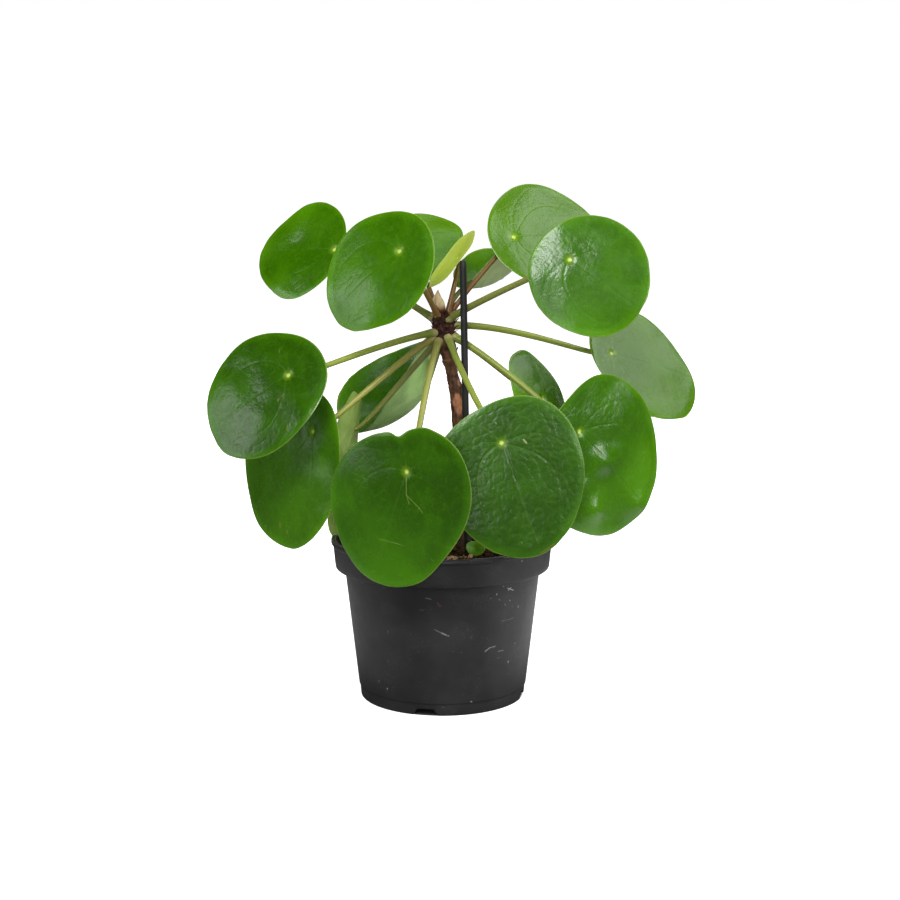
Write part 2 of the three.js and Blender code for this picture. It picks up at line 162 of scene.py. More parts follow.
def cells(x: np.ndarray, y: np.ndarray, size: float, seed: int) -> np.ndarray:
    """How far points lie from the borders of random cells, as shares of the cells' size.

    One centre is drawn in each square of a grid; the result is the distance to the second
    nearest centre less the distance to the nearest.

    Args:
        x: The points' first coordinate in millimetres.
        y: Their second coordinate.
        size: The grid's spacing in millimetres.
        seed: The seed of the random draws.

    Returns:
        One value for each point, 0 on a border.
    """
    across = 64
    shift = np.random.default_rng(seed).uniform(0.1, 0.9, (across, across, 2))
    column, row = np.floor(x / size).astype(int), np.floor(y / size).astype(int)
    first, second = np.full(x.shape, 9.0), np.full(x.shape, 9.0)
    for dx, dy in ((dx, dy) for dx in (-1, 0, 1) for dy in (-1, 0, 1)):
        place = shift[(column + dx) % across, (row + dy) % across]
        far = np.hypot(column + dx + place[..., 0] - x / size, row + dy + place[..., 1] - y / size)
        second = np.minimum(second, np.maximum(first, far))
        first = np.minimum(first, far)
    return second - first


# ---------------------------------------------------------------- meshes


@dataclass
class Patch:
    """A closed surface in millimetres: a grid whose rows run round it, and a point at each end.

    Its faces look outwards where, seen from outside, columns run to the right as rows rise.

    Attributes:
        points: Rows by columns by 3.
        start: The point that closes the first row.
        end: The point that closes the last row.
        fields: Named numbers for each grid point, for the materials to read.
        end_fields: The same named numbers at start and at end, 0 where they aren't given.
        coordinates: Rows by columns + 1 by 2, a map along the surface.
    """

    points: np.ndarray
    start: np.ndarray
    end: np.ndarray
    fields: dict[str, np.ndarray] = field(default_factory=dict)
    end_fields: dict[str, Pair] = field(default_factory=dict)
    coordinates: np.ndarray | None = None

    def faces(self) -> tuple[np.ndarray, np.ndarray]:
        """The faces' corners as vertex numbers, and as places in the map.

        Returns:
            Two arrays of rows of 4, with the last number repeated in a triangle.
        """
        rows, columns = self.points.shape[:2]
        row, column = np.divmod(np.arange((rows - 1) * columns), columns)
        low, high, after = row * columns, (row + 1) * columns, (column + 1) % columns
        sides = np.stack([low + column, low + after, high + after, high + column], 1)
        low, high, after = low + row, high + row + 1, column + 1
        side_places = np.stack([low + column, low + after, high + after, high + column], 1)

        ring = np.arange(columns)
        after = (ring + 1) % columns
        first, last = 0 * ring + rows * columns, (rows - 1) * columns
        ends = [
            np.stack([first, after, ring, ring], 1),
            np.stack([first + 1, last + ring, last + after, last + after], 1),
        ]
        last += rows - 1
        end_places = [
            np.stack([ring, ring + 1, ring, ring], 1),
            np.stack([last + ring, last + ring, last + ring + 1, last + ring + 1], 1),
        ]
        return np.concatenate([sides, *ends]), np.concatenate([side_places, *end_places])

    def vertices(self) -> np.ndarray:
        """Every vertex in metres: the grid's, then the two ends."""
        return np.concatenate([self.points.reshape(-1, 3), [self.start, self.end]]) * MM

    def values(self, name: str) -> np.ndarray:
        """One field's number for every vertex."""
        return np.concatenate([self.fields[name].ravel(), self.end_fields.get(name, (0.0, 0.0))])


def linked(name: str, data: bpy.types.ID) -> bpy.types.Object:
    """A new object at the origin with the given data, linked to the scene.

    Args:
        name: The object's name.
        data: Its mesh, light or camera.

    Returns:
        The new object.
    """
    thing = bpy.data.objects.new(name, data)
    bpy.context.scene.collection.objects.link(thing)
    return thing


def mesh_object(name: str, patches: list[Patch], flip: bool = False) -> bpy.types.Object:
    """One object of one or more patches, smooth shaded, at the origin.

    Args:
        name: The piece's name.
        patches: Surfaces that share the same fields.
        flip: True where the grids' order makes the faces point inwards.

    Returns:
        The new object, linked to the scene.
    """
    order = [3, 2, 1, 0] if flip else [0, 1, 2, 3]
    corners, maps, points, count = [], [], [], 0
    for patch in patches:
        faces, places = patch.faces()
        corners.append(faces + count)
        if patch.coordinates is not None:
            maps.append(patch.coordinates.reshape(-1, 2)[places])
        points.append(patch.vertices())
        count += len(points[-1])
    corners = np.concatenate(corners)
    kept = np.ones(corners.shape, bool)
    kept[corners[:, 2] == corners[:, 3], 3] = False
    corners, kept = corners[:, order], kept[:, order]
    lists = np.split(corners[kept], np.cumsum(kept.sum(1))[:-1])
    mesh = bpy.data.meshes.new(name)
    mesh.from_pydata(np.concatenate(points).tolist(), [], [row.tolist() for row in lists])
    if maps:
        spots = np.concatenate(maps)[:, order][kept]
        mesh.uv_layers.new(name="surface").data.foreach_set("uv", spots.astype(np.float32).ravel())
    for key in patches[0].fields:
        numbers = np.concatenate([patch.values(key) for patch in patches])
        attribute = mesh.attributes.new(key, "FLOAT", "POINT")
        attribute.data.foreach_set("value", numbers.astype(np.float32))
    mesh.polygons.foreach_set("use_smooth", np.ones(len(mesh.polygons), bool))
    mesh.validate()
    mesh.update()
    return linked(name, mesh)


def settle(piece: bpy.types.Object, material: bpy.types.Material, slot: str, *nodes: str) -> None:
    """Gives a piece its material and its body, and hides the solids' nodes that it stands for.

    Args:
        piece: The finished piece.
        material: Its material.
        slot: The name of the slot that the material fills; not used.
        nodes: The solids' nodes that the piece replaces, if any.
    """
    piece.data.materials.clear()
    piece.data.materials.append(material)
    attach(piece, BODY)
    if nodes:
        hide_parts(*nodes)
    LOG.info("%s: %d faces", piece.name, len(piece.data.polygons))


def lathe(profile: np.ndarray, columns: int) -> Patch:
    """A turned surface: each (radius, height) row is carried round the upright axis.

    Args:
        profile: Rows of radius and height; its first and last rows lie on the axis.
        columns: How many steps round.

    Returns:
        A patch closed by its two points on the axis.
    """
    angle = ring_angles(columns)
    radius, height = profile[1:-1, :1], profile[1:-1, 1:]
    points = np.stack(
        [radius * np.cos(angle), radius * np.sin(angle), np.repeat(height, columns, 1)], -1
    )
    start, end = np.array([0, 0, profile[0, 1]]), np.array([0, 0, profile[-1, 1]])
    return Patch(points, start, end)


def carried(
    line: np.ndarray, radii: np.ndarray, columns: int, upright: Point = (0, 0, 1)
) -> Patch:
    """A tube: a ring of the given radius is carried along a line, square to it.

    Each ring's two axes come from the line's direction and one fixed direction, so the tube
    doesn't twist.

    Args:
        line: Rows of points along the middle.
        radii: Rows by columns, or rows by 1, of the distance from the middle.
        columns: How many steps round.
        upright: The fixed direction, which the line never follows.

    Returns:
        A patch closed by the line's two ends.
    """
    direction = np.gradient(line, axis=0)
    direction /= np.linalg.norm(direction, axis=1, keepdims=True)
    side = np.cross(direction, np.array(upright, float))
    side /= np.linalg.norm(side, axis=1, keepdims=True)
    other = np.cross(direction, side)
    angle = ring_angles(columns)[None, :, None]
    ring = side[:, None] * np.cos(angle) + other[:, None] * np.sin(angle)
    points = line[:, None] + ring * np.broadcast_to(radii, (len(line), columns))[..., None]
    return Patch(points, line[0], line[-1])


# ---------------------------------------------------------------- materials


@dataclass(frozen=True)
class Mark:
    """A short straight fleck, scar or scratch with soft edges.

    Attributes:
        start: One end, on a blade as angle and share of the reach, on the pot as compass angle
            and height.
        end: The other end.
        half: Half its width in millimetres.
        colour: Its colour.
        strength: How much it covers, 0 to 1.
    """

    start: Pair
    end: Pair
    half: float = 0.12
    colour: str = "8fa653"
    strength: float = 0.5


class Shader:
    """Builds one material's nodes: each call adds a node and gives its output."""

    def __init__(self, name: str, marks: list[tuple[Point, Point, Mark]]) -> None:
        """Starts a material with its surface shader.

        Args:
            name: The material's name.
            marks: The marks on the surface, each after its two ends in millimetres.
        """
        self.marks = marks
        self.material = bpy.data.materials.new(name)
        self.material.use_nodes = True
        self.tree = self.material.node_tree
        self.surface = self.tree.nodes["Principled BSDF"]
        self.object = self.node("TexCoord", {}, "Object")
        self.map = self.node("TexCoord", {}, "UV")

    def put(self, socket: Socket, value: Value) -> None:
        """Links an output to a socket, or sets the socket's own value.

        Args:
            socket: An input of a node.
            value: Another node's output, a number, or a colour without its alpha.
        """
        if isinstance(value, Socket):
            self.tree.links.new(value, socket)
        elif socket.type == "RGBA":
            socket.default_value = (*value, 1)
        else:
            socket.default_value = value

    def node(
        self, kind: str, inputs: dict[int | str, Value], output: int | str = 0, **options: str
    ) -> Socket:
        """Adds a node.

        Args:
            kind: The node's type, as Blender names it after ShaderNode.
            inputs: What its inputs are set or linked to, by number or name.
            output: Which of its outputs is wanted.
            options: The node's own settings.

        Returns:
            The wanted output.
        """
        node = self.tree.nodes.new(f"ShaderNode{kind}")
        for key, choice in options.items():
            setattr(node, key, choice)
        for key, value in inputs.items():
            self.put(node.inputs[key], value)
        return node.outputs[output]

    def set(self, **values: Value) -> None:
        """Sets inputs of the surface shader, named with underscores for spaces."""
        for name, value in values.items():
            self.put(self.surface.inputs[name.replace("_", " ")], value)

    def number(self, name: str) -> Socket:
        """A number stored on the mesh."""
        return self.node("Attribute", {}, "Fac", attribute_name=name)

    def math(self, operation: str, *values: Value) -> Socket:
        """Arithmetic on one to three values."""
        return self.node("Math", dict(enumerate(values)), operation=operation)

    def times(self, a: Value, b: Value) -> Socket:
        """The product of two values."""
        return self.math("MULTIPLY", a, b)

    def vector(self, operation: str, a: Value, b: Value, output: int = 0) -> Socket:
        """Vector arithmetic on two values, whose output 0 is a vector and 1 a number."""
        return self.node("VectorMath", {0: a, 1: b}, output, operation=operation)

    def step(self, value: Value, low: float, high: float, a: float = 0, b: float = 1) -> Socket:
        """A soft step from a to b as the value goes from low to high."""
        numbers = dict(enumerate((value, low, high, a, b)))
        return self.node("MapRange", numbers, interpolation_type="SMOOTHSTEP")

    def mix(self, share: Value, a: Value, b: Value) -> Socket:
        """Two colours mixed, from a at share 0 to b at share 1."""
        return self.node("Mix", {0: share, 6: a, 7: b}, 2, data_type="RGBA")

    def tint(self, colour: Value, share: Value, code: str) -> Socket:
        """A colour mixed by a share with the colour of a hex code."""
        return self.mix(share, colour, linear(code))

    def stretched(self, vector: Value, scale: Point, turn: Point = (0, 0, 0)) -> Socket:
        """A coordinate scaled along each axis, after a turn."""
        return self.node("Mapping", {"Scale": scale, "Rotation": turn, "Vector": vector})

    def noise(
        self, size: float, detail: float = 3, rough: float = 0.5, vector: Socket | None = None
    ) -> Socket:
        """Noise from 0 to 1 whose features are size millimetres across.

        Args:
            size: The features' size in millimetres.
            detail: How many finer octaves it has.
            rough: The weight of each octave against the one before.
            vector: The coordinate it lies on, or None for the object's.

        Returns:
            The noise's value.
        """
        place = self.object if vector is None else vector
        inputs = {"Scale": 1 / (size * MM), "Detail": detail, "Roughness": rough, "Vector": place}
        return self.node("TexNoise", inputs, "Fac")

    def cells(self, size: float) -> Socket:
        """The distance to the borders of random cells that are size millimetres across."""
        inputs = {"Scale": 1 / (size * MM), "Vector": self.object}
        return self.node("TexVoronoi", inputs, "Distance", feature="DISTANCE_TO_EDGE")

    def segment(self, a: Point, b: Point, half: float, soft: float = 0.2) -> Socket:
        """A short straight mark on the surface.

        The distance from point p to the segment is |p - a - (b - a) h|, where h is the share of
        the way from a to b, clipped to 0..1, at which the foot of the perpendicular lies.

        Args:
            a: One end in millimetres.
            b: The other end in millimetres.
            half: Half the mark's width in millimetres.
            soft: How far its edge fades in millimetres.

        Returns:
            1 on the mark, softly falling to 0.
        """
        span = tuple((q - p) * MM for p, q in zip(a, b))
        square = max(sum(c * c for c in span), 1e-12)
        off = self.vector("SUBTRACT", self.object, tuple(c * MM for c in a))
        share = self.math("DIVIDE", self.vector("DOT_PRODUCT", off, span, 1), square)
        share = self.math("MINIMUM", self.math("MAXIMUM", share, 0.0), 1.0)
        foot = self.node("VectorMath", {0: span, "Scale": share}, operation="SCALE")
        reach = self.vector("DISTANCE", off, foot, 1)
        return self.step(reach, half * MM, (half + soft) * MM, 1, 0)

    def bump(self, height: Value, depth: float, normal: Socket | None = None) -> Socket:
        """A bumped normal: height from 0 to 1 raised by depth millimetres, over another normal."""
        over = {} if normal is None else {"Normal": normal}
        return self.node("Bump", {"Distance": depth * MM, "Height": height, **over})


class Finish:
    """What a piece's surface is made of; each kind paints its own colours and relief."""

    def material(
        self, name: str, marks: list[tuple[Point, Point, Mark]] | None = None
    ) -> bpy.types.Material:
        """Makes the finish's material.

        Args:
            name: The material's name.
            marks: The marks on the surface, each after its two ends in millimetres.

        Returns:
            The new material.
        """
        shader = Shader(name, marks or [])
        self.paint(shader)
        return shader.material

    def paint(self, s: Shader) -> None:
        """Adds the colours and the relief of one kind of finish to the material being built."""
        raise NotImplementedError


class Tone(Enum):
    """The blades' colours: upper face, lighter green for mottling and painted glow, and an underside
    paler than its own colour by painted light shining through.
    """

    DEEP = ("244a00", "427a05", "9cbc74")
    MID = ("2f5d00", "508a06", "ccf49c")
    FRESH = ("3c6b02", "5a8c08", "e6f6b8")
    PALE = ("416a03", "52800a", "98b870")
    YOUNG = ("aabb44", "bece66", "c0d066")
    BACKLIT = ("376502", "4f7f08", "b8d674")


@dataclass(frozen=True)
class BladeFinish(Finish):
    """A fleshy green blade with a waxy sheen, faint veins, painted rim light along its margin, and an
    underside paler than its own colour by painted light shining through.

    Attributes:
        tone: The blade's colours.
        veins: How clearly the main veins show, 0 to 1.
        pebble: How deep the fine pebbling is, in millimetres.
        roughness: The wax's roughness.
        rim: The colour of the pale line along the margin, painted rim light.
        edge: How strongly that painted rim light shows on the margin.
        dot: How clearly the pale dot over the stalk shows, 0 to 1.
    """

    tone: Tone = Tone.MID
    veins: float = 0.07
    pebble: float = 0.03
    roughness: float = 0.26
    rim: str = "7f9a3c"
    edge: float = 0.5
    dot: float = 1.0

    VEIN = "86a850"
    HALO = "7ba028"
    DOT = "b9cf58"
    FLECK = "8f9c4a"
    UNDER_VEIN = "a9bf8c"
    UNDER_LINE = "5f8444"

    def paint(self, s: Shader) -> None:
        """Mixes both faces' colours and bumps the wax, from the numbers stored on the mesh.

        Args:
            s: The material being built.
        """
        deep, light, under = (linear(code) for code in self.tone.value)
        upper = s.number("upper")
        rim_reach = s.number("rim")
        cloudy = s.step(s.noise(15), 0.38, 0.7)
        mottled = s.step(s.noise(3.0, 4, 0.6), 0.42, 0.75)
        # Lighter green: the random cloudiness is the blade's own tone; the glow patches are partly its
        # own tone and partly painted light shining through and painted sheen; the band within 6 mm of
        # the margin is a painted halo of light through the thin edge.
        tone_and_glow = s.math("MULTIPLY_ADD", cloudy, 0.2, s.number("glow"))
        tone_and_glow = s.math("ADD", tone_and_glow, s.step(rim_reach, 0.5, 6.0, 0.4, 0))
        colour = s.mix(s.math("MINIMUM", tone_and_glow, 1.0), deep, light)
        colour = s.mix(s.times(mottled, 0.2), colour, light)

        # A main vein runs wherever the lane number is whole.
        lane = s.math("ADD", s.node("SeparateXYZ", {0: s.map}), 0.5)
        off = s.math("ABSOLUTE", s.math("SUBTRACT", s.math("FRACT", lane), 0.5))
        main = s.step(s.times(off, s.number("lane_width")), 0.078, 0.39, 1, 0)
        veins = s.times(main, s.number("vein_fade"))
        cells = s.cells(2.1)
        lines = s.step(cells, 0.0, 0.1, 1, 0)
        seen = s.math("MAXIMUM", s.times(veins, self.veins), s.times(lines, 0.12 * self.veins))
        colour = s.tint(colour, seen, self.VEIN)

        dot_reach = s.number("dot")
        star = s.times(s.times(main, s.step(dot_reach, 1.5, 5.5, 1, 0)), 0.35 * self.dot)
        near = s.times(s.step(dot_reach, 0.8, 4.0, 1, 0), 0.55 * self.dot)
        colour = s.tint(colour, s.math("MAXIMUM", star, near), self.HALO)
        colour = s.tint(colour, s.step(dot_reach, 0.55, 1.5, self.dot, 0), self.DOT)

        flecks = s.step(s.noise(1.0, 1, 0.4), 0.78, 0.82)
        flecks = s.times(flecks, s.step(s.noise(9, 1), 0.5, 0.62))
        colour = s.tint(colour, s.times(flecks, 0.45), self.FLECK)
        for a, b, mark in s.marks:
            colour = s.tint(colour, s.times(s.segment(a, b, mark.half), mark.strength), mark.colour)

        # The underside's colours are paler than the blade's own: painted light shining through it.
        below = s.mix(s.times(cloudy, 0.35), under, light)
        below = s.tint(below, s.times(veins, 0.45), self.UNDER_VEIN)
        below = s.tint(below, s.times(lines, 0.14), self.UNDER_LINE)
        colour = s.mix(upper, below, colour)
        # A thin pale line along the margin: painted rim light.
        colour = s.tint(colour, s.step(rim_reach, 0.15, 0.7, self.edge, 0), self.rim)

        normal = s.bump(s.times(s.math("MINIMUM", cells, 0.3), 3.3), self.pebble)
        normal = s.bump(s.noise(1.3, 3, 0.6), 1.1 * self.pebble, normal)
        normal = s.bump(s.noise(0.45, 2), 0.014, normal)
        worn = s.math("MULTIPLY_ADD", s.noise(6), 0.16, self.roughness - 0.08)
        dull = s.math("MULTIPLY_ADD", s.math("SUBTRACT", 1.0, upper), 0.2, worn)
        s.set(Base_Color=colour, Roughness=dull, Normal=normal, Specular_IOR_Level=0.5)


@dataclass(frozen=True)
class StalkFinish(Finish):
    """A smooth leaf stalk, browner at its root, with faint streaks along it."""

    root: str = "8a8a3a"
    middle: str = "96994a"
    tip: str = "9aa552"
    roughness: float = 0.4

    STREAK = "6f7430"
    SPOT = "7a5a35"
    HEEL = "b4a878"

    def paint(self, s: Shader) -> None:
        """Mixes the colours from root to tip, from the share of the way along the stalk.

        Args:
            s: The material being built.
        """
        along = s.number("along")
        colour = s.mix(s.step(along, 0.02, 0.5), linear(self.root), linear(self.middle))
        colour = s.tint(colour, s.step(along, 0.45, 1.0), self.tip)
        streaks = s.noise(1.4, 3, 0.6, s.stretched(s.map, (1, 0.04, 1)))
        colour = s.tint(colour, s.step(streaks, 0.45, 0.75, 0, 0.35), self.STREAK)
        colour = s.tint(colour, s.step(s.noise(0.9, 2), 0.62, 0.75, 0, 0.3), self.SPOT)
        colour = s.tint(colour, s.step(along, 0.02, 0.05, 0.75, 0), self.HEEL)
        rough = s.math("MULTIPLY_ADD", s.noise(2, 2), 0.2, self.roughness - 0.1)
        s.set(Base_Color=colour, Roughness=rough, Normal=s.bump(streaks, 0.05))
        s.set(Coat_Weight=0.1, Coat_Roughness=0.25)


@dataclass(frozen=True)
class BarkFinish(Finish):
    """Rough grey-brown bark, darker in its cracks and paler on its scars."""

    dark: str = "2c1c14"
    light: str = "6c4632"
    scar: str = "805840"

    GREY = "5c544a"
    WOOD = "96624a"
    BARE = "b87c58"
    CROWN = "23100d"
    MAROON = "5a3026"
    FLAKE = "8d6a50"

    def paint(self, s: Shader) -> None:
        """Mixes bark, peeled wood and crown, from the relief, scars and patches on the mesh.

        Args:
            s: The material being built.
        """
        long_cells = s.stretched(s.object, (1, 1, 0.35))
        grain = s.noise(1.6, 5, 0.65, long_cells)
        colour = s.mix(s.step(grain, 0.34, 0.7), linear(self.dark), linear(self.light))
        colour = s.tint(colour, s.step(s.number("relief"), 0.15, 0.7, 0, 0.45), self.light)
        colour = s.tint(colour, s.times(s.number("scar"), 0.55), self.scar)
        colour = s.tint(colour, s.step(s.noise(4.5), 0.55, 0.7, 0, 0.4), self.GREY)
        wood = s.mix(s.step(grain, 0.35, 0.65), linear(self.WOOD), linear(self.BARE))
        colour = s.mix(s.number("peeled"), colour, wood)
        maroon = s.step(s.noise(2.2, 4, 0.6), 0.4, 0.66)
        maroon = s.mix(maroon, linear(self.CROWN), linear(self.MAROON))
        maroon = s.tint(maroon, s.step(s.noise(1.1), 0.62, 0.72, 0, 0.5), self.FLAKE)
        colour = s.mix(s.number("crown"), colour, maroon)
        normal = s.bump(s.noise(0.7, 5, 0.7, long_cells), 0.22)
        rough = s.math("MULTIPLY_ADD", grain, 0.2, 0.68)
        s.set(Base_Color=colour, Roughness=rough, Normal=normal, Specular_IOR_Level=0.35)


@dataclass(frozen=True)
class BudFinish(Finish):
    """A tan bud, pinkish in places, with a reddish-brown foot and fine lines along it."""

    foot: str = "6e3c2a"
    body: str = "ccbc8c"
    tip: str = "dccaa0"

    PINK = "c49c80"
    SEAM = "5e3a26"
    LINE = "8a6238"

    def paint(self, s: Shader) -> None:
        """Mixes the colours from foot to tip, and darkens the seams between the scales.

        Args:
            s: The material being built.
        """
        along = s.number("along")
        colour = s.mix(s.step(along, 0.05, 0.45), linear(self.foot), linear(self.body))
        colour = s.tint(colour, s.step(along, 0.4, 1.0), self.tip)
        colour = s.tint(colour, s.step(s.noise(5.0, 1), 0.48, 0.6, 0, 0.55), self.PINK)
        colour = s.tint(colour, s.step(s.number("fold"), 0.12, 0.0, 0, 0.7), self.SEAM)
        lines = s.noise(0.7, 3, 0.6, s.stretched(s.object, (1, 1, 0.15)))
        colour = s.tint(colour, s.step(lines, 0.5, 0.75, 0, 0.45), self.LINE)
        s.set(Base_Color=colour, Roughness=0.5, Normal=s.bump(lines, 0.08))


@dataclass(frozen=True)
class PlasticFinish(Finish):
    """Moulded plastic, satin, with haze, fine scuffs, dust and some marks of its own."""

    colour: str = "232324"
    worn: str = "353535"
    dust: str = "8f8f88"
    roughness: float = 0.42
    dusty: float = 0.5

    POWDER = "6c6c69"

    def paint(self, s: Shader) -> None:
        """Mixes haze, powder, two ways of fine streaks, specks and marks over the plastic.

        Args:
            s: The material being built.
        """
        haze = s.step(s.noise(28, 3, 0.55), 0.35, 0.75)
        colour = s.mix(s.times(haze, 0.6), linear(self.colour), linear(self.worn))
        powder = s.times(s.step(s.noise(0.6, 3, 0.7), 0.5, 0.75), s.step(s.noise(11), 0.45, 0.7))
        colour = s.tint(colour, s.times(powder, 0.35), self.POWDER)
        tilted = s.stretched(s.object, (0.22, 0.22, 1), (0.3, 0.9, 0))
        streak = s.step(s.noise(1.6, 2, 0.5, tilted), 0.70, 0.76)
        streak = s.times(streak, s.step(s.noise(13, 2), 0.56, 0.66))
        crossed = s.stretched(s.object, (0.2, 0.2, 1), (0.9, -0.6, 0.4))
        other = s.step(s.noise(1.3, 2, 0.5, crossed), 0.71, 0.76)
        other = s.times(other, s.step(s.noise(17, 2), 0.57, 0.66))
        specks = s.step(s.noise(0.75, 1, 0.3), 0.77, 0.81)
        specks = s.times(specks, s.step(s.noise(22, 2), 0.48, 0.62))
        scuffs = s.math("MAXIMUM", s.math("MAXIMUM", streak, other), specks)
        colour = s.tint(colour, s.times(scuffs, self.dusty), self.dust)
        broken = s.step(s.noise(1.2, 3, 0.7), 0.38, 0.5)
        for a, b, mark in s.marks:
            spot = s.times(s.segment(a, b, mark.half, 0.35), broken)
            colour = s.tint(colour, s.times(spot, mark.strength), mark.colour)
        rough = s.math("MULTIPLY_ADD", s.noise(5), 0.14, self.roughness - 0.07)
        rough = s.math("MULTIPLY_ADD", scuffs, 0.2, rough)
        normal = s.bump(s.noise(14, 2), 0.12, s.bump(s.noise(0.45, 2, 0.6), 0.018))
        s.set(Base_Color=colour, Roughness=rough, Normal=normal)


@dataclass(frozen=True)
class SoilFinish(Finish):
    """Moist peat: dark brown, fibrous and rough."""

    dark: str = "140c08"
    light: str = "4c3222"

    LUMP = "6e5038"
    RED = "6a3c2a"
    OLIVE = "5e5430"
    FIBRE = "8c6f49"

    def paint(self, s: Shader) -> None:
        """Mixes grain, lumps, reddish and olive patches and fibres.

        Args:
            s: The material being built.
        """
        grain = s.noise(1.3, 6, 0.7)
        colour = s.mix(s.step(grain, 0.35, 0.7), linear(self.dark), linear(self.light))
        colour = s.tint(colour, s.step(s.noise(6, 4, 0.6), 0.5, 0.75, 0, 0.5), self.LUMP)
        colour = s.tint(colour, s.step(s.noise(2.6, 1), 0.52, 0.6, 0, 0.6), self.RED)
        colour = s.tint(colour, s.step(s.noise(3.1, 1), 0.58, 0.66, 0, 0.5), self.OLIVE)
        fibres = s.noise(0.9, 2, 0.5, s.stretched(s.object, (1, 0.2, 1), (0, 0, 0.7)))
        colour = s.tint(colour, s.step(fibres, 0.66, 0.72, 0, 0.5), self.FIBRE)
        s.set(Base_Color=colour, Roughness=0.9, Normal=s.bump(grain, 0.9), Specular_IOR_Level=0.3)


@dataclass(frozen=True)
class HuskFinish(Finish):
    """Dry husks and fibres, straw coloured."""

    colour: str = "b08e66"

    SHADE = "6d5233"
    PINK = "c59a80"

    def paint(self, s: Shader) -> None:
        """Mixes grain and pinkish patches.

        Args:
            s: The material being built.
        """
        grain = s.noise(0.8)
        colour = s.mix(grain, linear(self.SHADE), linear(self.colour))
        colour = s.tint(colour, s.step(s.noise(4, 1), 0.5, 0.56, 0, 0.7), self.PINK)
        s.set(Base_Color=colour, Roughness=0.75, Normal=s.bump(grain, 0.1))


# ---------------------------------------------------------------- trunk


